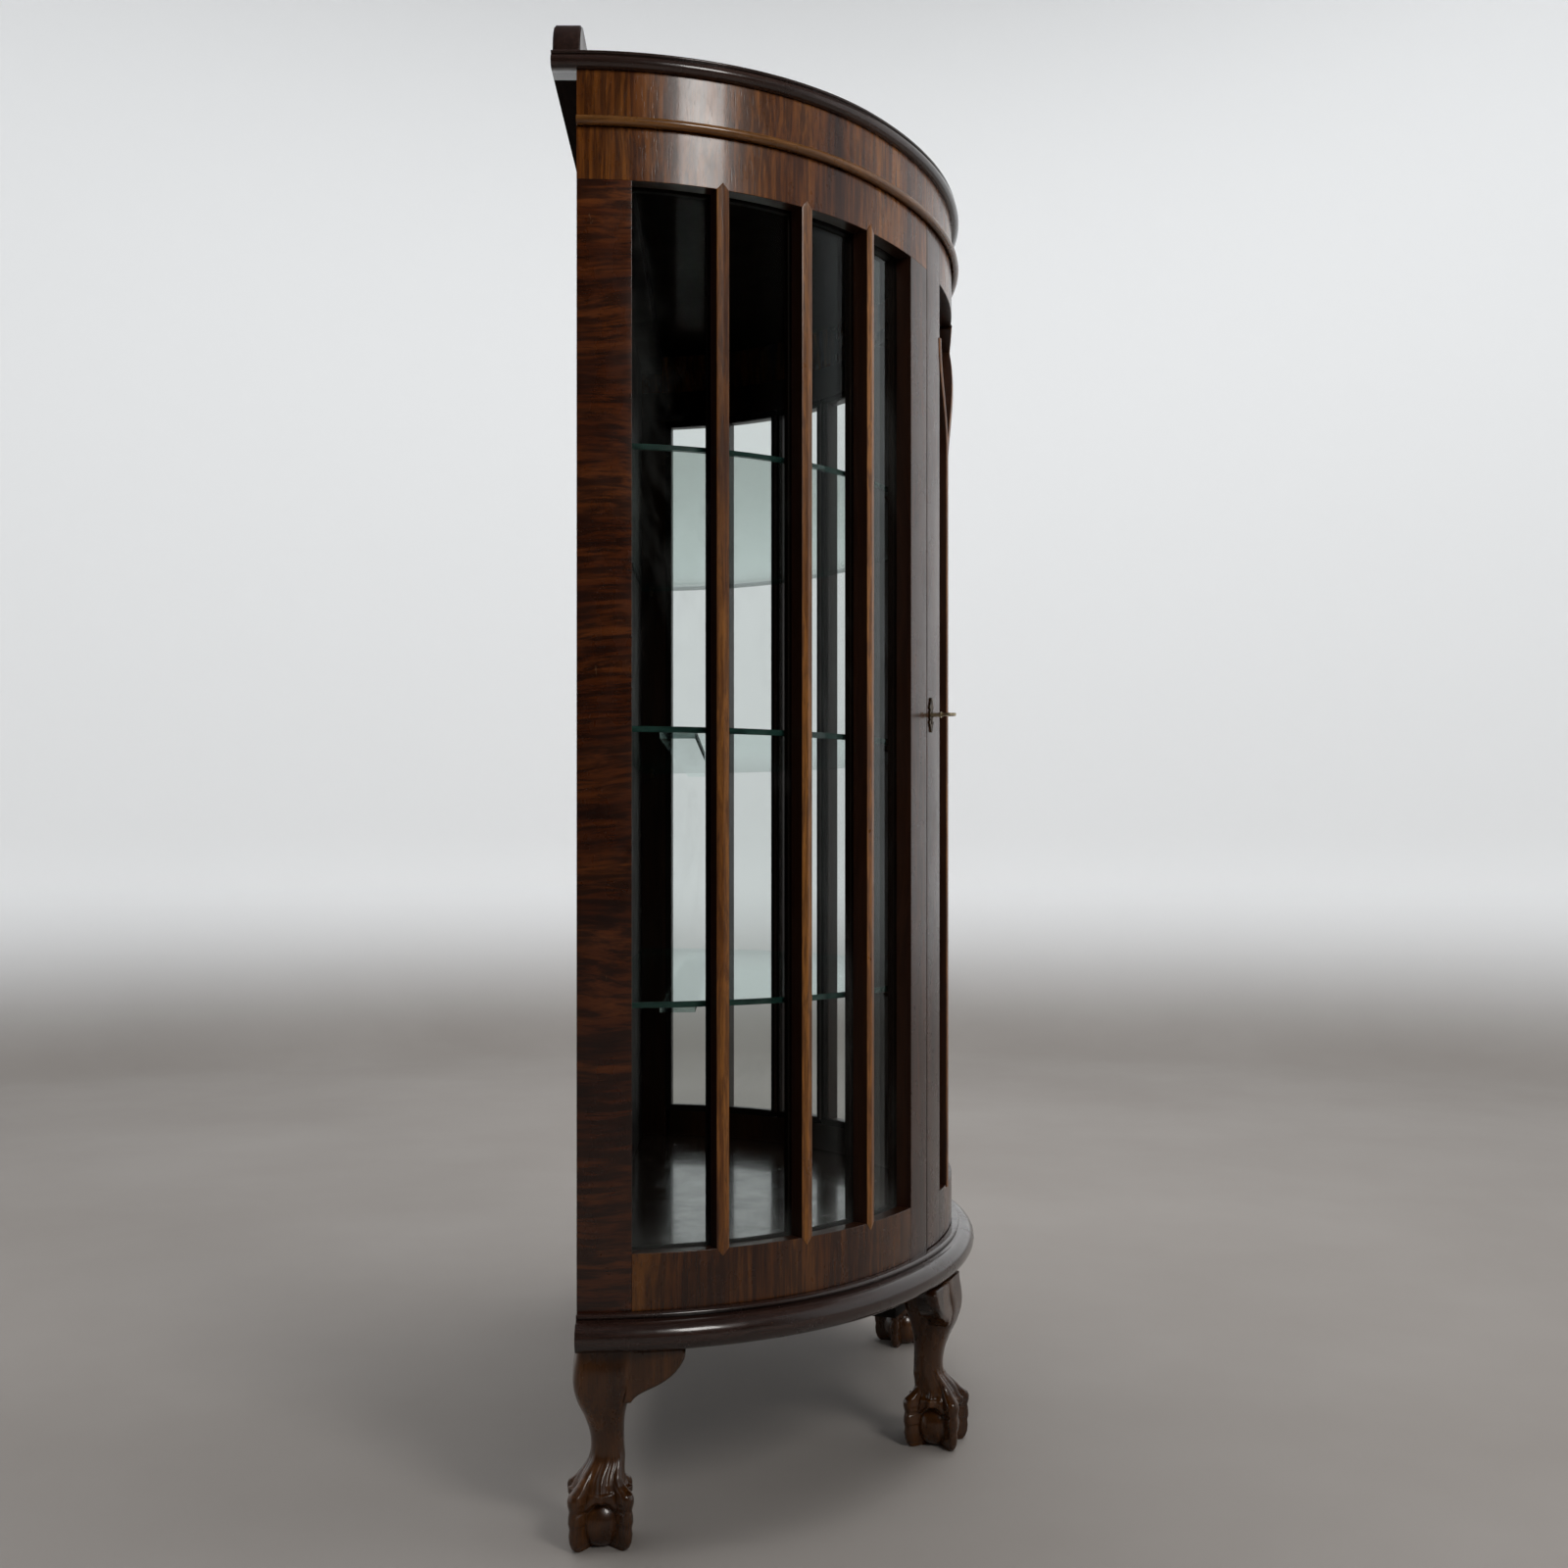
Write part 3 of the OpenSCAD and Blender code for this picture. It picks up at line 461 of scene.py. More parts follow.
def glass_edge(name):
    """The ground edge of a glass shelf, dark green from the light lost along the sheet."""
    g = Graph(name)
    place = g.object_coordinates()
    cloud = g.noise(g.shifted(place, (1, 1, 4), (0, 0, 0)), 30.0, 3.0, 0.6)
    colour = g.ramp(cloud, [(0.3, (0.006, 0.022, 0.018)), (0.7, (0.03, 0.085, 0.07))])
    shader = g.node("BsdfPrincipled", {"Roughness": 0.16, "Specular IOR Level": 0.6})
    g.put(shader.inputs["Base Color"], colour)
    return g.finish(shader.outputs[0])


def metal(name, light, dark, roughness, tarnish):
    """Metal with cloudy tarnish and fine scratches."""
    g = Graph(name)
    place = g.object_coordinates()
    cloud = g.noise(place, 120.0, 4.0, 0.65)
    colour = g.mix(g.maths("MULTIPLY", g.step(cloud, 0.42, 0.62), tarnish), (*light, 1), (*dark, 1))
    scratch = g.noise(g.stretched(place, (1, 1, 6)), 700.0, 2.0, 0.5)
    rough = g.node("MapRange")
    g.put(rough.inputs[0], cloud)
    rough.inputs[3].default_value = roughness
    rough.inputs[4].default_value = roughness + 0.3
    bump = g.node("Bump")
    bump.inputs["Strength"].default_value = 0.2
    bump.inputs["Distance"].default_value = 0.0002
    g.put(bump.inputs["Height"], scratch)
    shader = g.node("BsdfPrincipled", {"Metallic": 1.0})
    g.put(shader.inputs["Base Color"], colour)
    g.put(shader.inputs["Roughness"], rough.outputs[0])
    g.put(shader.inputs["Normal"], bump.outputs[0])
    return g.finish(shader.outputs[0])


def backdrop_material():
    """A grey floor and a pale backdrop, dark on the camera's side so that the front mirrors little."""
    g = Graph("studio_grey")
    place = g.object_coordinates()
    cloud = g.noise(place, 1.5, 4.0, 0.6)
    floor = g.ramp(cloud, [(0.3, (0.27, 0.245, 0.225)), (0.7, (0.31, 0.285, 0.265))])
    split = g.node("SeparateXYZ", {"Vector": place}).outputs
    far_side = g.step(split[0], -2.4, -0.6)
    wall = g.mix(far_side, (0.04, 0.036, 0.033, 1), (0.80, 0.81, 0.82, 1))
    rise = g.step(split[2], 0.0, 0.5)
    colour = g.mix(rise, floor, wall)
    shader = g.node("BsdfPrincipled", {"Roughness": 0.75})
    g.put(shader.inputs["Base Color"], colour)
    g.put(shader.inputs["Emission Color"], (0.80, 0.82, 0.83, 1))
    glow = g.maths("MULTIPLY", g.maths("MULTIPLY", rise, far_side), 0.25)
    g.put(shader.inputs["Emission Strength"], glow)
    return g.finish(shader.outputs[0])


# ---------------------------------------------------------------- legs

# Stations of a leg from the floor up: height, shift along the diagonal, half width, squareness
LEG = [
    (0.050, 0.0080, 0.0190, 2.2), (0.057, 0.0040, 0.0162, 2.2), (0.066, 0.0008, 0.0142, 2.2),
    (0.075, 0.0000, 0.0134, 2.3), (0.088, 0.0010, 0.0138, 2.5), (0.102, 0.0036, 0.0164, 2.9),
    (0.115, 0.0058, 0.0206, 3.5), (0.128, 0.0058, 0.0238, 4.3), (0.141, 0.0036, 0.0250, 5.5),
    (0.151, 0.0012, 0.0250, 7.0), (0.158, 0.0000, 0.0250, 8.0),
]
FOOT_SHIFT = 0.0085
BALL_R = 0.0218
BALL_Z = 0.0196
# Outer radius of a toe and half its width, by height
TOE_REACH = [
    (0.000, 0.0280), (0.0025, 0.0308), (0.007, 0.0328), (0.013, 0.0336), (0.018, 0.0330),
    (0.023, 0.0341), (0.028, 0.0338), (0.032, 0.0330), (0.037, 0.0343), (0.041, 0.0345),
    (0.0445, 0.0330), (0.047, 0.0292), (0.050, 0.0252), (0.055, 0.0212), (0.062, 0.0176),
    (0.070, 0.0150), (0.078, 0.0120),
]
TOE_HALF = [
    (0.000, 0.0034), (0.004, 0.0046), (0.010, 0.0054), (0.017, 0.0052), (0.023, 0.0064),
    (0.027, 0.0064), (0.032, 0.0056), (0.038, 0.0076), (0.043, 0.0076), (0.050, 0.0060),
    (0.060, 0.0044), (0.078, 0.0030),
]
# Radius of the web between the toes, by height
WEB = [
    (0.0285, 0.0000), (0.0298, 0.0205), (0.0325, 0.0236), (0.0370, 0.0238), (0.0430, 0.0222),
    (0.0500, 0.0196), (0.0580, 0.0170), (0.0660, 0.0148), (0.0780, 0.0120),
]
LEG_AROUND = 176
LEG_RINGS = 170
# The foot blends into the shaft from FOOT_TOP up, and the shaft shrinks away inside the foot below SHAFT_Z0
FOOT_TOP = 0.046
FOOT_BLEND = 0.024
SHAFT_Z0 = 0.050
SHAFT_SHRINK = 1.6
# Height of the ridge on the web, and how far the web's lower edge rises half-way between the toes
RIDGE_H = 0.0022
WEB_LIFT = 0.0075


def spline(table, columns):
    """Smooth interpolation of a table by its first column."""
    keys = np.array([row[0] for row in table])
    values = np.array([row[1:1 + columns] for row in table])
    slopes = np.gradient(values, keys, axis=0)

    def at(x):
        x = min(max(x, keys[0]), keys[-1])
        i = int(min(np.searchsorted(keys, x, "right") - 1, len(keys) - 2))
        span = keys[i + 1] - keys[i]
        t = (x - keys[i]) / span
        return (
            (2 * t**3 - 3 * t**2 + 1) * values[i]
            + (t**3 - 2 * t**2 + t) * span * slopes[i]
            + (-2 * t**3 + 3 * t**2) * values[i + 1]
            + (t**3 - t**2) * span * slopes[i + 1]
        )

    return at


def linear(table):
    keys = [row[0] for row in table]
    values = [row[1] for row in table]
    return lambda x: float(np.interp(x, keys, values))


def smooth_max(values, softness):
    """The largest value, with the creases between them softened."""
    top = max(values)
    return top + softness * math.log(sum(math.exp((v - top) / softness) for v in values))


def leg_surface():
    """Rings of (height, [(x, y)...]) of the leg in its own frame, with corner 0 along +x."""
    station = spline(LEG, 3)
    toe_reach, toe_half, web = linear(TOE_REACH), linear(TOE_HALF), linear(WEB)
    heights = [LEG_H * (k / LEG_RINGS) ** 1.25 for k in range(LEG_RINGS + 1)]
    rings = []
    for z in heights:
        own_shift, half, power = (float(v) for v in station(max(z, LEG[0][0])))
        foot = 1.0 - min(max((z - FOOT_TOP) / FOOT_BLEND, 0.0), 1.0)
        foot = foot * foot * (3 - 2 * foot)
        shift = own_shift * (1 - foot) + FOOT_SHIFT * foot
        off_axis = shift - own_shift
        ball = math.sqrt(max(BALL_R**2 - (z - BALL_Z) ** 2, 1e-8))
        reach, width, web_r = toe_reach(z), toe_half(z), web(z)
        ridge_h = RIDGE_H * min(max((z - 0.030) / 0.005, 0), 1) * min(max((0.064 - z) / 0.02, 0), 1)
        ring = []
        for i in range(LEG_AROUND):
            angle = 2 * math.pi * i / LEG_AROUND
            c, s = abs(math.cos(angle - math.pi / 4)), abs(math.sin(angle - math.pi / 4))
            shaft = half / (c**power + s**power) ** (1 / power)
            shaft = math.sqrt(shaft**2 - (off_axis * math.sin(angle)) ** 2) - off_axis * math.cos(angle)
            if z < SHAFT_Z0:
                shaft -= (SHAFT_Z0 - z) * SHAFT_SHRINK
            quarter = (angle + math.pi / 4) % (math.pi / 2) - math.pi / 4
            off = abs(math.sin(quarter)) * reach
            toe = 0.0
            if off < width:
                crown = 1 - math.sqrt(1 - (off / width) ** 2)
                toe = reach - width * crown * 0.8
            # the web rises to a sharp ridge half-way between the toes, and dips beside them
            middle = abs(abs(math.degrees(quarter)) - 45)
            lift = WEB_LIFT * max(0.0, 1 - (middle / 32) ** 2)
            web_here = web(z - lift) if z < 0.045 else web_r
            if web_here > 0.012:
                dip = 0.0010 * math.exp(-(((middle - 15) / 6) ** 2))
                web_here += ridge_h * max(0.0, 1 - middle / 9) - dip
            radius = smooth_max([ball, toe, web_here, shaft], 0.0004)
            ring.append((shift + radius * math.cos(angle), radius * math.sin(angle)))
        rings.append((z, ring))
    return rings


def placed(x, y, z, place):
    """A point of a leg's frame (x out of the face, y along the curve) in the part's frame."""
    s, inward, flip = place
    px, py, angle = plan(s, -inward)
    if flip:
        y = -y
    return (
        px + x * math.cos(angle) - y * math.sin(angle),
        py + x * math.sin(angle) + y * math.cos(angle),
        z,
    )


def leg_part(place):
    rings = leg_surface()
    turn = math.radians(-45)
    vertices, uvs, faces = [], [], []
    for z, ring in rings:
        for x, y in ring:
            rx = x * math.cos(turn) - y * math.sin(turn)
            ry = x * math.sin(turn) + y * math.cos(turn)
            vertices.append(placed(rx, ry, z, place))
            uvs.append((z, x))
    flip = place[2]
    n = LEG_AROUND
    for k in range(len(rings) - 1):
        for i in range(n):
            j = (i + 1) % n
            face = (k * n + i, k * n + j, (k + 1) * n + j, (k + 1) * n + i)
            faces.append(tuple(reversed(face)) if flip else face)
    bottom = tuple(range(n))
    top = tuple((len(rings) - 1) * n + i for i in range(n))
    faces.append(bottom if flip else tuple(reversed(bottom)))
    faces.append(tuple(reversed(top)) if flip else top)
    sharp = [(top[i], top[(i + 1) % n]) for i in range(n)]
    return vertices, faces, uvs, sharp


def cubic(p, t):
    q = 1 - t
    return tuple(
        q**3 * p[0][k] + 3 * q * q * t * p[1][k] + 3 * q * t * t * p[2][k] + t**3 * p[3][k]
        for k in (0, 1)
    )


def ear_part(place):
    """The shaped bracket beside a leg, with its lower edge rounded over."""
    head = LEG_HEAD / 2
    reach = head + 0.0365
    thick, round_over = 0.020, 0.0035
    inner = [(head - 0.012, -0.001), (head - 0.012, -0.034), (head - 0.0135, -0.043)]
    lower = [
        cubic([(head - 0.0075, -0.043), (head - 0.001, -0.030), (reach - 0.0115, -0.034),
               (reach, -0.007)], i / 18)
        for i in range(19)
    ]
    outline = inner + lower + [(reach, 0.0)]
    centre = Vector((head + 0.008, -0.012))
    station = spline(LEG, 3)
    layers = []
    for depth, pull in ((0.0, 0.0), (thick - round_over, 0.0), (thick - 0.0012, 0.0011), (thick, round_over)):
        ring = []
        for y, z in outline:
            towards = (centre - Vector((y, z))).normalized() * pull
            shift, half, _ = (float(v) for v in station(LEG_H + z))
            fade = math.exp(-max(y - head + 0.012, 0) / 0.018)
            swell = (shift * math.cos(math.pi / 4) + half - head) * fade
            front = head - thick + depth + (swell - 0.0004) * depth / thick
            ring.append((front, y + towards.x, min(LEG_H, LEG_H + z + towards.y)))
        layers.append(ring)
    vertices, uvs, faces = [], [], []
    for ring in layers:
        for x, y, z in ring:
            vertices.append(placed(x, y, z, place))
            uvs.append((z, y))
    n = len(outline)
    flip = place[2]
    for k in range(len(layers) - 1):
        for i in range(n):
            j = (i + 1) % n
            face = (k * n + i, k * n + j, (k + 1) * n + j, (k + 1) * n + i)
            faces.append(tuple(reversed(face)) if flip else face)
    back, front = tuple(range(n)), tuple((len(layers) - 1) * n + i for i in range(n))
    faces.append(back if flip else tuple(reversed(back)))
    faces.append(tuple(reversed(front)) if flip else front)
    return vertices, faces, uvs, []


# Where a leg stands: length along the curve, distance in from the face, and whether its ear is reversed
REAR_LEG = (0.029, 0.019, False)
FRONT_LEG = (0.428, 0.007, True)


def build_legs(material):
    for name, place in (("rear", REAR_LEG), ("front", FRONT_LEG)):
        leg, ear = [leg_part(place)], [ear_part(place)]
        build(f"{name}_left_carved_leg", leg, material, "carcase", [f"{name}_left_leg"])
        build(f"{name}_left_carved_ear", ear, material, "carcase", [f"{name}_left_ear"])
        build(f"{name}_right_carved_leg", mirrored(leg), material, "carcase", [f"{name}_right_leg"])
        build(f"{name}_right_carved_ear", mirrored(ear), material, "carcase", [f"{name}_right_ear"])


# ---------------------------------------------------------------- mouldings


def straight_ends(section, top_rear):
    """The same section carried straight back from both ends of the curve."""
    parts = []
    for side in (-1, 1):
        vertices, uvs, faces, sharp = [], [], [], []
        steps = 4
        count = len(section)
        around = [0.0]
        for i in range(1, count):
            around.append(around[-1] + (Vector(section[i]) - Vector(section[i - 1])).length)
        for k in range(steps + 1):
            back = top_rear * k / steps
            for i, (out, z) in enumerate(section):
                vertices.append((side * (HALF_W + out), CENTRE_Y + back, z))
                uvs.append((-back if side < 0 else PLAN_LEN + back, around[i]))
        for k in range(steps):
            for i in range(count):
                j = (i + 1) % count
                face = (k * count + i, k * count + j, (k + 1) * count + j, (k + 1) * count + i)
                faces.append(face if side > 0 else tuple(reversed(face)))
        ring = tuple(steps * count + i for i in range(count))
        faces.append(tuple(reversed(ring)) if side > 0 else ring)
        sharp += [(ring[i], ring[(i + 1) % count]) for i in range(count)]
        parts.append((vertices, faces, uvs, sharp))
    return parts


def top_edge_section():
    nose = 0.00525
    bottom = CARCASE_TOP
    section = [(-0.020, bottom)]
    section += arc_points((TOP_OVER - nose, bottom + nose), nose, -90, 68, 12)
    section += arc_points((TOP_OVER - 0.0031, bottom + 2 * nose + 0.0016), 0.0013, -115, 60, 5)
    section += [(TOP_OVER - 0.0030, TOP_Z - 0.0004), (TOP_OVER - 0.0040, TOP_Z), (-0.020, TOP_Z)]
    return section


def base_section():
    land = 0.062
    torus = 0.012
    bead = 0.0022
    section = [(-land, LEG_H)]
    section += arc_points((BASE_OVER - torus, LEG_H + torus), torus, -90, 84, 22)
    section += [(0.0096, LEG_H + 2 * torus - 0.0004), (0.0082, LEG_H + 2 * torus + 0.0004)]
    section += arc_points((0.0052, BASE_TOP - bead), bead, -80, 90, 8)
    section += [(-land, BASE_TOP)]
    return section


def bead_section():
    r = (BEAD_TOP - RAIL_TOP) / 2
    round_face = arc_points((0.0070 - r, RAIL_TOP + r), r, -88, 88, 12)
    return [(-0.0002, RAIL_TOP), *round_face, (-0.0002, BEAD_TOP)]


def build_mouldings(dark, golden):
    ends = (REAR_CUT, PLAN_LEN - REAR_CUT)
    edge = top_edge_section()
    build("top_moulding", [sweep(edge, 0.0, PLAN_LEN), *straight_ends(edge, TOP_REAR)],
          dark, "carcase", ["top_edge"])
    build("base_torus_moulding", [sweep(base_section(), *ends)], dark, "carcase", ["base_moulding"])
    build("frieze_half_round", [sweep(bead_section(), *ends)], golden, "carcase", ["frieze_bead"])


# ---------------------------------------------------------------- frames

ARRIS = 0.0006


def block(s0, s1, o0, o1, z0, z1):
    """A curved bar with softened long edges."""
    return sweep(rounded(rectangle(o0, o1, z0, z1), ARRIS, 2), s0, s1)


def upright(s0, s1, o0, o1, z0, z1):
    """An upright member: its plan section, following the curve, with softened upright edges."""
    steps = max(2, int(math.ceil((s1 - s0) / 0.005)))
    face = [(s0 + (s1 - s0) * k / steps, o1) for k in range(steps + 1)]
    back = [(s0 + (s1 - s0) * k / steps, o0) for k in range(steps, -1, -1)]
    cut = ARRIS * 0.3
    face[0:1] = [(s0, o1 - ARRIS), (s0 + cut, o1 - cut), (s0 + ARRIS, o1)]
    face[-1:] = [(s1 - ARRIS, o1), (s1 - cut, o1 - cut), (s1, o1 - ARRIS)]
    outline = face + back
    count = len(outline)
    vertices, uvs, faces = [], [], []
    for z in (z0, z1):
        for s, o in outline:
            vertices.append(point(s, o, z))
            uvs.append((z, s))
    for i in range(count):
        j = (i + 1) % count
        faces.append((j, i, count + i, count + j))
    for level, flip in ((0, False), (count, True)):
        ring = [level + i for i in range(count)]
        faces.append(tuple(reversed(ring)) if flip else tuple(ring))
    sharp = [(level + i, level + (i + 1) % count) for level in (0, count) for i in range(count)]
    sharp += [(corner, count + corner) for corner in (len(face), count - 1)]
    return vertices, faces, uvs, sharp


def bar_strip(path, half, proud, depth):
    """A bar along a path of (s, z) points on the curved face, bevelled to a soft ridge."""
    profile = [(-half, -depth), (-half, 0.0002), (-half + 0.0010, 0.0007), (-half * 0.25, proud - 0.00015),
               (0.0, proud), (half * 0.25, proud - 0.00015), (half - 0.0010, 0.0007), (half, 0.0002),
               (half, -depth)]
    count = len(profile)
    vertices, uvs, faces, sharp = [], [], [], []
    run = 0.0
    for k, (s, z) in enumerate(path):
        before, after = path[max(k - 1, 0)], path[min(k + 1, len(path) - 1)]
        along = Vector((after[0] - before[0], after[1] - before[1])).normalized()
        side = Vector((along.y, -along.x))
        if k:
            run += (Vector(path[k]) - Vector(path[k - 1])).length
        for offset, out in profile:
            vertices.append(point(s + side.x * offset, out, z + side.y * offset))
            uvs.append((run, offset + out))
    for k in range(len(path) - 1):
        for i in range(count - 1):
            faces.append((k * count + i, k * count + i + 1, (k + 1) * count + i + 1, (k + 1) * count + i))
    last = (len(path) - 1) * count
    faces.append(tuple(reversed(range(count))))
    faces.append(tuple(last + i for i in range(count)))
    sharp += [(i, i + 1) for i in range(count - 1)] + [(last + i, last + i + 1) for i in range(count - 1)]
    return vertices, faces, uvs, sharp


def pointed_bar(s, z0, z1, half, proud, depth, point_h):
    """An upright bar whose ends run to a point over the rails, with its web behind."""
    half_profile = [(half, -depth), (half, 0.0003), (half * 0.86, 0.0007), (0.0, proud)]
    rows = []
    for z, narrow in ((z0 - point_h, 0.02), (z0, 1.0), (z1, 1.0), (z1 + point_h, 0.02)):
        row = []
        for offset, out in [(-a, b) for a, b in half_profile] + list(reversed(half_profile))[1:]:
            tip = z < z0 or z > z1
            row.append((offset * narrow, (0.0002 if out < 0 else out * 0.5) if tip else out, z))
        rows.append(row)
    count = len(rows[0])
    vertices, uvs, faces = [], [], []
    for row in rows:
        for offset, out, z in row:
            vertices.append(point(s + offset, out, z))
            uvs.append((z, offset + out))
    for k in range(3):
        for i in range(count - 1):
            faces.append((k * count + i + 1, k * count + i, (k + 1) * count + i, (k + 1) * count + i + 1))
    sharp = [(k * count + c, (k + 1) * count + c) for k in range(3) for c in (1, 3, 5)]
    return vertices, faces, uvs, sharp


def build_side_frame(wood_set):
    """Posts, stiles, rails and bars of the left frame, and mirrored for the right."""
    rails, posts, bars, shaded_reveal = wood_set
    spans = {
        "rear_post": ([upright(REAR_CUT, POST_W, -GLASS_DEPTH, 0, BASE_TOP, OPEN_Z1),
                       upright(REAR_CUT, POST_W - REBATE, -FRAME_T, -GLASS_DEPTH, BASE_TOP,
                               OPEN_Z1 + REBATE)], posts[0]),
        "front_stile": ([upright(STILE_S, FIXED_S1, -GLASS_DEPTH, 0, BASE_TOP, OPEN_Z1),
                         upright(STILE_S + REBATE, FIXED_S1, -FRAME_T, -GLASS_DEPTH, BASE_TOP,
                                 OPEN_Z1 + REBATE)], posts[1]),
        "top_rail": ([block(REAR_CUT, FIXED_S1, -GLASS_DEPTH, 0, OPEN_Z1, RAIL_TOP),
                      block(REAR_CUT, FIXED_S1, -FRAME_T, -GLASS_DEPTH, OPEN_Z1 + REBATE, RAIL_TOP)],
                     rails),
        "bottom_rail": ([block(POST_W, STILE_S, -GLASS_DEPTH, 0, BASE_TOP, OPEN_Z0),
                         block(POST_W, STILE_S, -FRAME_T, -GLASS_DEPTH, BASE_TOP, OPEN_Z0 - REBATE)],
                        rails),
        "glazing_bars": ([
            part
            for i in (1, 2, 3)
            for part in (
                pointed_bar(POST_W + i * BAR_STEP - BAR_W / 2, OPEN_Z0, OPEN_Z1, BAR_W / 2, 0.0016,
                            GLASS_DEPTH, 0.006),
                block(POST_W + i * BAR_STEP - BAR_W / 2 - 0.0018, POST_W + i * BAR_STEP - BAR_W / 2 + 0.0018,
                      -FRAME_T, -GLASS_DEPTH, OPEN_Z0, OPEN_Z1),
            )
        ], bars),
    }
    for name, (parts, material) in spans.items():
        build(f"left_{name}_veneered", parts, material, "carcase", [f"left_{name}"], shaded_reveal)
        build(f"right_{name}_veneered", mirrored(parts), material, "carcase", [f"right_{name}"], shaded_reveal)


def s_of_x(x):
    """Length along the curve of the front point that lies x from the middle."""
    return MIDDLE_S + FRONT_R * math.asin(x / FRONT_R)


def tracery_paths():
    """Centre lines of the door's astragals, (x, z), for the right half."""
    foot = (ASTRAGAL_X, SPLIT_Z)
    end = (ASTRAGAL_X + 0.036, SPLIT_Z + 0.082)
    straight = [(ASTRAGAL_X, OPEN_Z0 - 0.002), (ASTRAGAL_X, SPLIT_Z + 0.004)]
    inner = [cubic([(foot[0], foot[1] - 0.012), (foot[0] - 0.010, foot[1] + 0.018),
                    (0.054, APEX_Z - 0.044), (0.0, APEX_Z)], i / 28) for i in range(29)]
    over = [(-0.026 * k / 6, APEX_Z + (OPEN_Z1 - APEX_Z) * k / 6) for k in range(1, 7)]
    outer = [cubic([(foot[0], foot[1] - 0.008), (foot[0] + 0.002, foot[1] + 0.030),
                    (end[0] - 0.002, end[1] - 0.034), (end[0], end[1] + 0.010)], i / 24)
             for i in range(25)]
    return [straight, inner + over, outer]


def build_door(wood_set):
    rails, posts, bars, shaded_reveal = wood_set
    z0, z1 = BASE_TOP + DOOR_CLEAR, RAIL_TOP - DOOR_CLEAR
    stile = [upright(DOOR_S0, DOOR_OPEN_S0, -GLASS_DEPTH, 0, z0, z1),
             upright(DOOR_S0, DOOR_OPEN_S0 - REBATE, -FRAME_T, -GLASS_DEPTH, z0, z1)]
    build("door_lock_stile_veneered", stile, posts[1], "door", ["door_lock_stile"], shaded_reveal)
    build("door_hinge_stile_veneered", mirrored(stile), posts[1], "door", ["door_hinge_stile"], shaded_reveal)
    s0, s1 = DOOR_OPEN_S0, PLAN_LEN - DOOR_OPEN_S0
    build("door_top_rail_veneered",
          [block(s0, s1, -GLASS_DEPTH, 0, OPEN_Z1, z1),
           block(s0 - REBATE, s1 + REBATE, -FRAME_T, -GLASS_DEPTH, OPEN_Z1 + REBATE, z1)],
          rails, "door", ["door_top_rail"], shaded_reveal)
    build("door_bottom_rail_veneered",
          [block(s0, s1, -GLASS_DEPTH, 0, z0, OPEN_Z0),
           block(s0 - REBATE, s1 + REBATE, -FRAME_T, -GLASS_DEPTH, z0, OPEN_Z0 - REBATE)],
          rails, "door", ["door_bottom_rail"], shaded_reveal)
    parts = []
    for side in (1, -1):
        for path in tracery_paths():
            run = [(s_of_x(side * x), z) for x, z in path]
            parts.append(bar_strip(run, ASTRAGAL_W / 2, 0.0015, GLASS_DEPTH - 0.0003))
    build("door_tracery", parts, bars, "door", ["door_astragals"], shaded_reveal)


# ---------------------------------------------------------------- glass


# Play between a pane and its rebate, and how far panes run behind the bars, the frames and the door's frame
PANE_PLAY = 0.0001
BAR_LAP = 0.0015
FRAME_LAP = 0.003
DOOR_LAP = 0.004


def pane(s0, s1, z0, z1):
    section = rectangle(-GLASS_DEPTH - PANE_T + PANE_PLAY, -GLASS_DEPTH - PANE_PLAY, z0, z1)
    return sweep(section, s0, s1, 0.004)


def build_panes(material):
    left = []
    for i in range(4):
        start = POST_W + i * BAR_STEP
        left.append(pane(start - (FRAME_LAP if i == 0 else BAR_LAP),
                         start + PANE_W + (FRAME_LAP if i == 3 else BAR_LAP),
                         OPEN_Z0 - FRAME_LAP, OPEN_Z1 + FRAME_LAP))
    build("left_bent_panes", left, material, "carcase", ["left_glass"])
    build("right_bent_panes", mirrored(left), material, "carcase", ["right_glass"])
    door = [pane(DOOR_OPEN_S0 - DOOR_LAP, PLAN_LEN - DOOR_OPEN_S0 + DOOR_LAP,
                 OPEN_Z0 - DOOR_LAP, OPEN_Z1 + DOOR_LAP)]
    build("door_bent_pane", door, material, "door", ["door_glass"])


def extruded(node, suffix, outline, shift, materials, rim, segments, clamp=False):
    """Stands for a CAD node: an outline carried along shift, with the rims of both its ends bevelled."""
    mesh = bmesh.new()
    start = mesh.faces.new([mesh.verts.new(corner) for corner in outline])
    lifted = bmesh.ops.extrude_face_region(mesh, geom=[start])
    moved = [v for v in lifted["geom"] if isinstance(v, bmesh.types.BMVert)]
    bmesh.ops.translate(mesh, verts=moved, vec=shift)
    bmesh.ops.recalc_face_normals(mesh, faces=mesh.faces)
    rims = [e for e in mesh.edges if abs((e.verts[0].co - e.verts[1].co).dot(Vector(shift))) < 1e-9]
    bmesh.ops.bevel(mesh, geom=rims, offset=rim, segments=segments, affect="EDGES", clamp_overlap=clamp)
    data = bpy.data.meshes.new(node + suffix)
    mesh.to_mesh(data)
    mesh.free()
    for material in materials:
        data.materials.append(material)
    obj = bpy.data.objects.new(node + suffix, data)
    bpy.context.scene.collection.objects.link(obj)
    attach(obj, "carcase")
    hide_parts(node)
    return obj


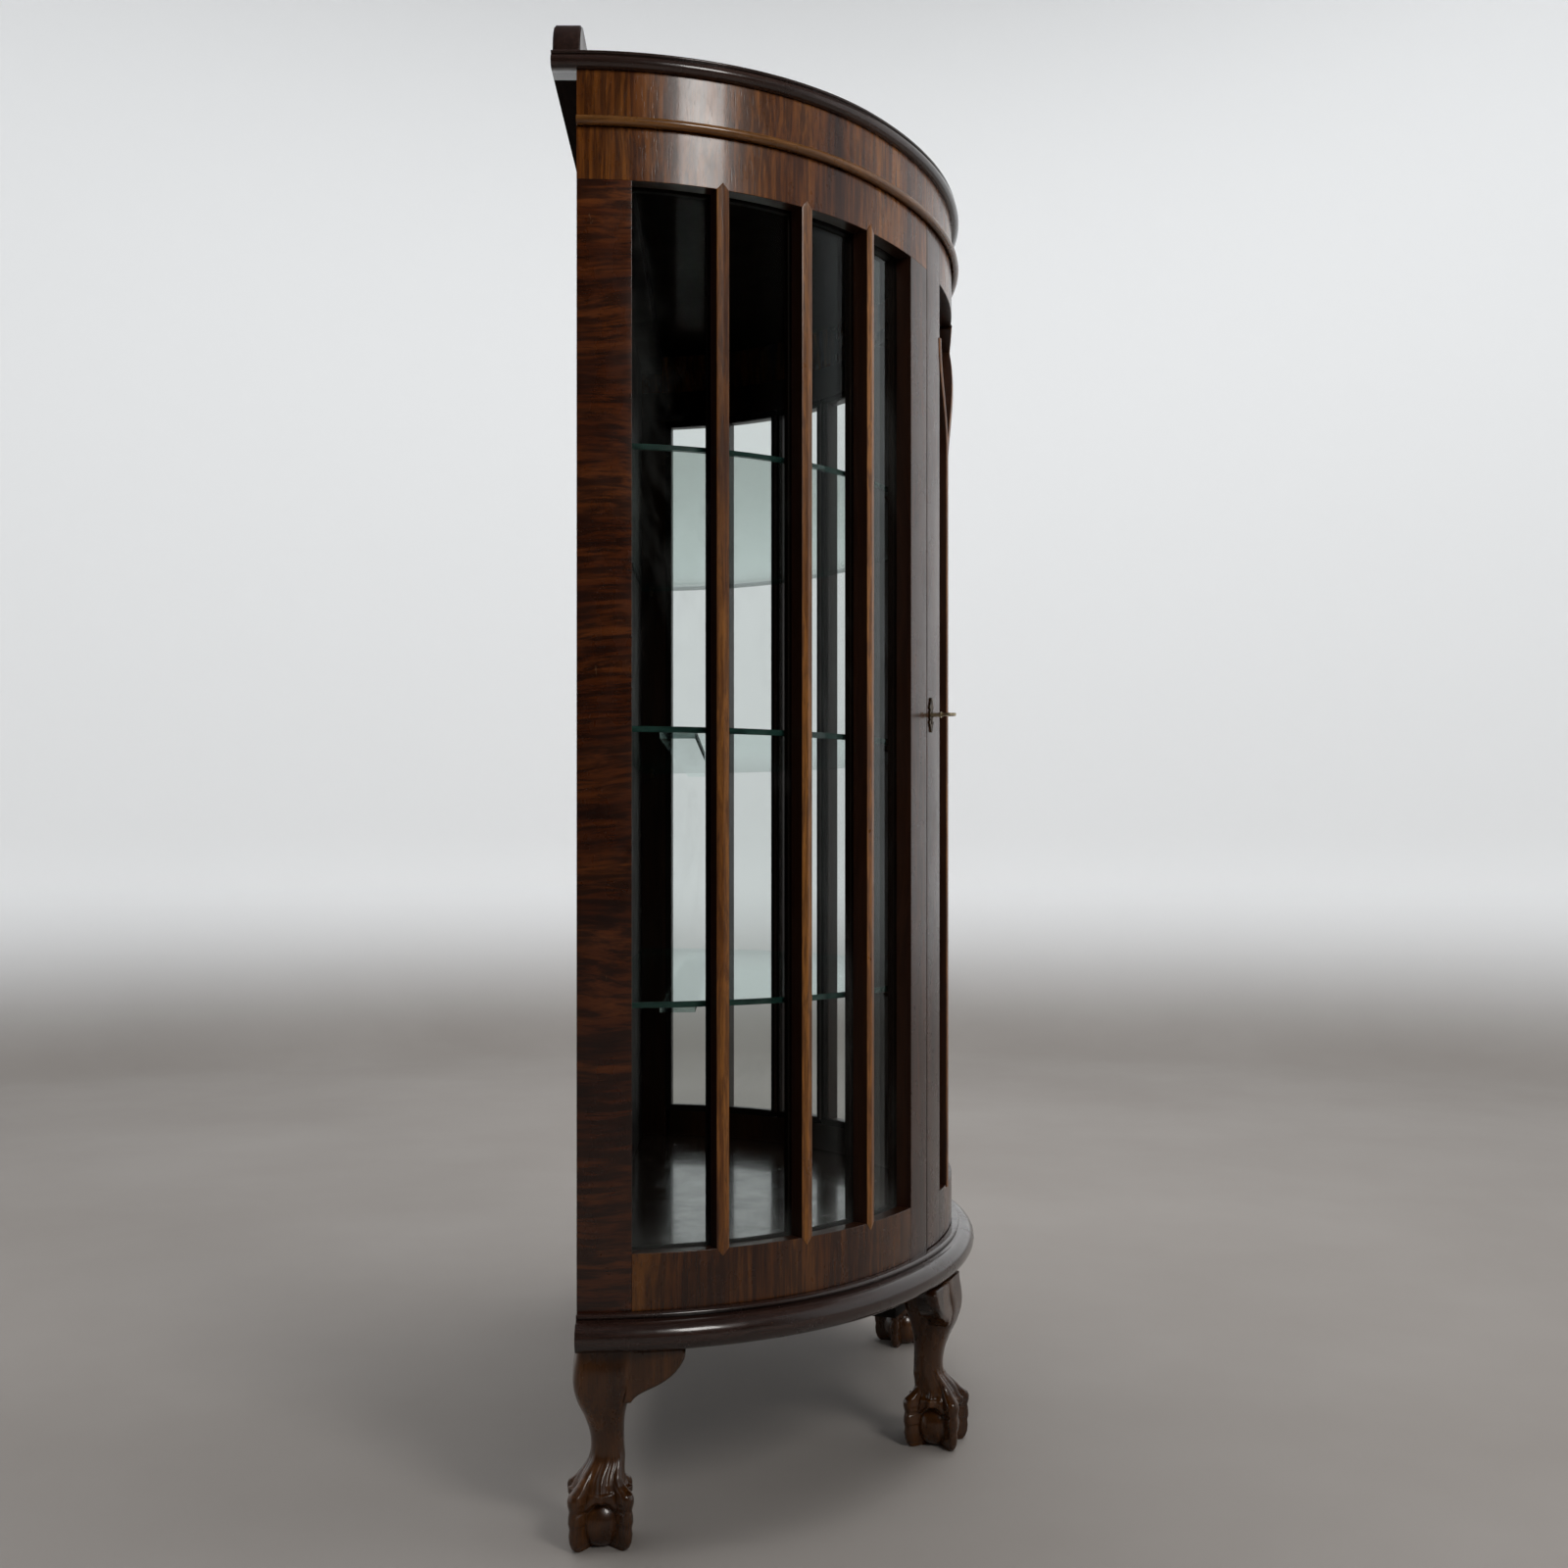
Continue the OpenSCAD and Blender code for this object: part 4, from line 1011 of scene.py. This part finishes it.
def build_shelves(faces_material, edge_material):
    """Flat glass shelves with softened, darker ground edges."""
    rear = CENTRE_Y - REAR_CUT - PANEL_T - 0.001
    outline = []
    steps = 150
    for k in range(steps + 1):
        x, y, _ = plan(PLAN_LEN * k / steps, -SHELF_IN)
        if y <= rear:
            outline.append((x, y))
    outline = [(outline[0][0], rear)] + outline + [(outline[-1][0], rear)]
    for node in ("bottom_shelf", "middle_shelf", "top_shelf"):
        low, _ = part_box(node)
        sheet = extruded(node, "_sheet", [(x, y, low.z) for x, y in outline], (0, 0, SHELF_T),
                         (faces_material, edge_material), 0.0007, 2)
        for polygon in sheet.data.polygons:
            polygon.material_index = 0 if abs(polygon.normal.z) > 0.9 else 1


def build_upstand(material):
    """The upstand at the back of the top, round at both ends, its edges softened."""
    low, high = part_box("upstand")
    foot = 0.004
    radius = high.z - low.z - foot
    outline = [(low.x, low.z), (low.x + 0.0004, low.z + foot * 0.8)]
    for k in range(25):
        angle = math.pi - math.pi / 2 * k / 24
        outline.append((low.x + 0.0006 + radius * (1 + math.cos(angle)) + foot,
                        low.z + foot + radius * math.sin(angle)))
    outline += [(-x, z) for x, z in reversed(outline)]
    board = extruded("upstand", "_polished", [(x, high.y, z) for x, z in outline],
                     (0, low.y - high.y, 0), (material,), 0.0012, 3, clamp=True)
    board.data.polygons.foreach_set("use_smooth", [True] * len(board.data.polygons))
    add_weighted_normals(board)


# ---------------------------------------------------------------- stage


def build_stage():
    """A grey floor that curves up all round into a pale backdrop."""
    flat, bend, wall_top = 2.9, 0.6, 4.2
    profile = [(0.0, 0.0), (1.0, 0.0), (2.0, 0.0), (flat, 0.0)]
    for degrees in range(10, 91, 10):
        a = math.radians(degrees)
        profile.append((flat + bend * math.sin(a), bend - bend * math.cos(a)))
    profile.append((flat + bend, wall_top))
    around = 96
    vertices, faces = [(0.0, 0.0, 0.0)], []
    for radius, z in profile[1:]:
        for i in range(around):
            angle = 2 * math.pi * i / around
            vertices.append((radius * math.cos(angle), radius * math.sin(angle), z))
    for i in range(around):
        faces.append((0, 1 + i, 1 + (i + 1) % around))
    for k in range(len(profile) - 2):
        for i in range(around):
            j = (i + 1) % around
            a, b = 1 + k * around, 1 + (k + 1) * around
            faces.append((a + i, b + i, b + j, a + j))
    mesh = bpy.data.meshes.new("studio_floor")
    mesh.from_pydata(vertices, [], faces)
    mesh.polygons.foreach_set("use_smooth", [True] * len(mesh.polygons))
    floor = bpy.data.objects.new("studio_floor", mesh)
    bpy.context.scene.collection.objects.link(floor)
    mesh.materials.append(backdrop_material())


def add_light(name, place, target, size, power, colour):
    light = bpy.data.lights.new(name, "AREA")
    light.shape = "RECTANGLE"
    light.size, light.size_y = size
    light.energy = power
    light.color = colour
    obj = bpy.data.objects.new(name, light)
    bpy.context.scene.collection.objects.link(obj)
    obj.location = place
    obj.rotation_euler = (Vector(target) - Vector(place)).to_track_quat("-Z", "Y").to_euler()
    return obj


def build_lights():
    add_light("window", (-2.35, -1.42, 2.20), (-0.30, 0.0, 0.90), (0.70, 0.95), 32, (1.0, 0.98, 0.95))
    ceiling = add_light("ceiling", (0.6, -0.2, 3.6), (0.6, -0.2, 0), (3.0, 3.0), 100, (0.98, 0.99, 1.0))
    fill = add_light("fill", (-2.4, 1.9, 1.5), (0, 0, 0.6), (1.6, 1.6), 5, (0.95, 0.97, 1.0))
    for soft in (ceiling, fill):
        soft.visible_glossy = False
    world = bpy.data.worlds.new("studio")
    world.use_nodes = True
    background = world.node_tree.nodes["Background"]
    background.inputs["Color"].default_value = (0.75, 0.78, 0.82, 1)
    background.inputs["Strength"].default_value = 0.08
    bpy.context.scene.world = world
    bpy.context.scene.view_settings.view_transform = "Standard"


def build_camera():
    camera = bpy.data.cameras.new("camera")
    camera.lens = 40.5
    camera.sensor_width = 36.0
    camera.shift_x = 0.02625
    camera.shift_y = 0.0419
    obj = bpy.data.objects.new("camera", camera)
    bpy.context.scene.collection.objects.link(obj)
    obj.location = (-1.821, 0.041, 0.5546)
    obj.rotation_euler = (math.radians(90), 0, math.radians(-90))
    bpy.context.scene.camera = obj


# ---------------------------------------------------------------- scene

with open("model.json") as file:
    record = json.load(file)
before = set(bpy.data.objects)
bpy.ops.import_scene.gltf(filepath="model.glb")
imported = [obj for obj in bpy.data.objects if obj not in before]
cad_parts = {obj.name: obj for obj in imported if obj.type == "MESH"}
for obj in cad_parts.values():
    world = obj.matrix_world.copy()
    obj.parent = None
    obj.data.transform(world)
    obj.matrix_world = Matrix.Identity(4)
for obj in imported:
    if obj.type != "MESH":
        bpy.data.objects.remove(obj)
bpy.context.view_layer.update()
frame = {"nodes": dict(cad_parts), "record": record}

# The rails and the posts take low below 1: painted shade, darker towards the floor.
rail_wood = wood("walnut_rails", (0.360, 0.128, 0.020), (0.180, 0.052, 0.007), (0.030, 0.006, 0.0012),
                 "upright", 26, 0.75, 0.20, 0.22, 0.75, wear=0.15, low=0.50)
post_wood = wood("walnut_posts", (0.200, 0.054, 0.010), (0.090, 0.019, 0.003), (0.012, 0.0025, 0.0006),
                 "level", 24, 0.75, 0.22, 0.30, 0.80, burr=0.12, wear=0.15, low=0.55)
stile_wood = wood("walnut_stiles", (0.100, 0.032, 0.011), (0.055, 0.016, 0.006), (0.014, 0.004, 0.002),
                  "upright", 24, 0.6, 0.20, 0.35, 0.6)
dark_wood = wood("dark_moulding", (0.055, 0.028, 0.021), (0.032, 0.015, 0.011), (0.010, 0.004, 0.003),
                 "along", 30, 0.5, 0.16, 0.45, 0.5, wear=0.25)
top_wood = wood("dark_top", (0.050, 0.026, 0.020), (0.030, 0.014, 0.011), (0.010, 0.005, 0.004),
                "across", 24, 0.5, 0.28, 0.2, 0.5, specular=0.2)
bead_wood = wood("golden_bead", (0.280, 0.115, 0.026), (0.160, 0.060, 0.012), (0.050, 0.017, 0.004),
                 "along", 34, 0.5, 0.20, 0.4, 0.5)
bar_wood = wood("golden_bars", (0.420, 0.165, 0.028), (0.220, 0.074, 0.011), (0.050, 0.013, 0.002),
                "upright", 46, 0.5, 0.26, 0.25, 0.6)
# The sides, backs and rebates of the frames and door: painted shade, a much darker copy of the wood.
shaded_reveal_wood = wood("painted_shade_reveal", (0.045, 0.014, 0.005), (0.026, 0.008, 0.003), (0.010, 0.003, 0.001),
                   "upright", 30, 0.5, 0.30, 0.2, 0.4, pore=0.2)
leg_wood = wood("carved_legs", (0.125, 0.044, 0.008), (0.055, 0.018, 0.003), (0.012, 0.0035, 0.0008),
                "upright", 22, 0.5, 0.20, 0.35, 0.45, grime=0.55)
inside_wood = wood("dark_interior", (0.014, 0.008, 0.006), (0.009, 0.005, 0.003), (0.004, 0.002, 0.001),
                   "upright", 8, 0.5, 0.55, 0.0, 0.3, pore=0.0, specular=0.12)
# The underside of the top board: painted shade, a much darker wood with almost no gloss.
shaded_underside_wood = wood("painted_shade_underside", (0.020, 0.011, 0.008), (0.012, 0.006, 0.004), (0.004, 0.002, 0.001),
                  "across", 12, 0.5, 0.75, 0.0, 0.3, pore=0.1, specular=0.03)
floor_wood = wood("interior_floor", (0.030, 0.017, 0.012), (0.018, 0.010, 0.007), (0.006, 0.003, 0.002),
                  "across", 8, 0.5, 0.12, 0.5, 0.3, pore=0.1)
# The panes' pale band along their bottom edge is a painted reflection; the shelves' edge lies below it and
# shows only the film.
pane_glass = thin_glass("pane_glass", (0.93, 0.945, 0.94, 1), 0.8, OPEN_Z0)
shelf_glass = thin_glass("shelf_glass", (0.90, 0.95, 0.935, 1), 0.3, 0.0)
shelf_edge = glass_edge("shelf_edge")
brass = metal("aged_brass", (0.10, 0.070, 0.040), (0.018, 0.013, 0.010), 0.34, 0.85)
key_metal = metal("key_metal", (0.62, 0.54, 0.38), (0.25, 0.20, 0.13), 0.28, 0.5)
nail_steel = metal("nail_steel", (0.42, 0.42, 0.41), (0.10, 0.08, 0.07), 0.35, 0.6)

PAINT = {
    "walnut_rails": rail_wood, "walnut_posts": post_wood, "dark_moulding": top_wood,
    "golden_bars": bar_wood, "carved_legs": leg_wood, "dark_interior": inside_wood,
    "pane_glass": pane_glass, "shelf_glass": shelf_glass, "aged_brass": brass,
    "key_metal": key_metal, "nail_steel": nail_steel,
}
for subpart in frame["record"]["subparts"]:
    node = frame["nodes"][subpart["node"]]
    node.data.materials.clear()
    node.data.materials.append(PAINT[subpart["material_slot"]])
frame["nodes"]["floor_board"].data.materials[0] = floor_wood
top_board = frame["nodes"]["top_board"].data
top_board.materials.append(shaded_underside_wood)
# Faces turned down take the second material: painted shade under the top board.
for polygon in top_board.polygons:
    polygon.material_index = 1 if polygon.normal.z < -0.5 else 0

build_legs(leg_wood)
build_mouldings(dark_wood, bead_wood)
wood_set = (rail_wood, (post_wood, stile_wood), bar_wood, shaded_reveal_wood)
build_side_frame(wood_set)
build_door(wood_set)
frieze = [block(REAR_CUT, PLAN_LEN - REAR_CUT, -FRAME_T, 0, RAIL_TOP, CARCASE_TOP)]
build("frieze_veneered", frieze, rail_wood, "carcase", ["frieze"])
build_panes(pane_glass)
build_shelves(shelf_glass, shelf_edge)
build_upstand(top_wood)

build_stage()
build_lights()
build_camera()
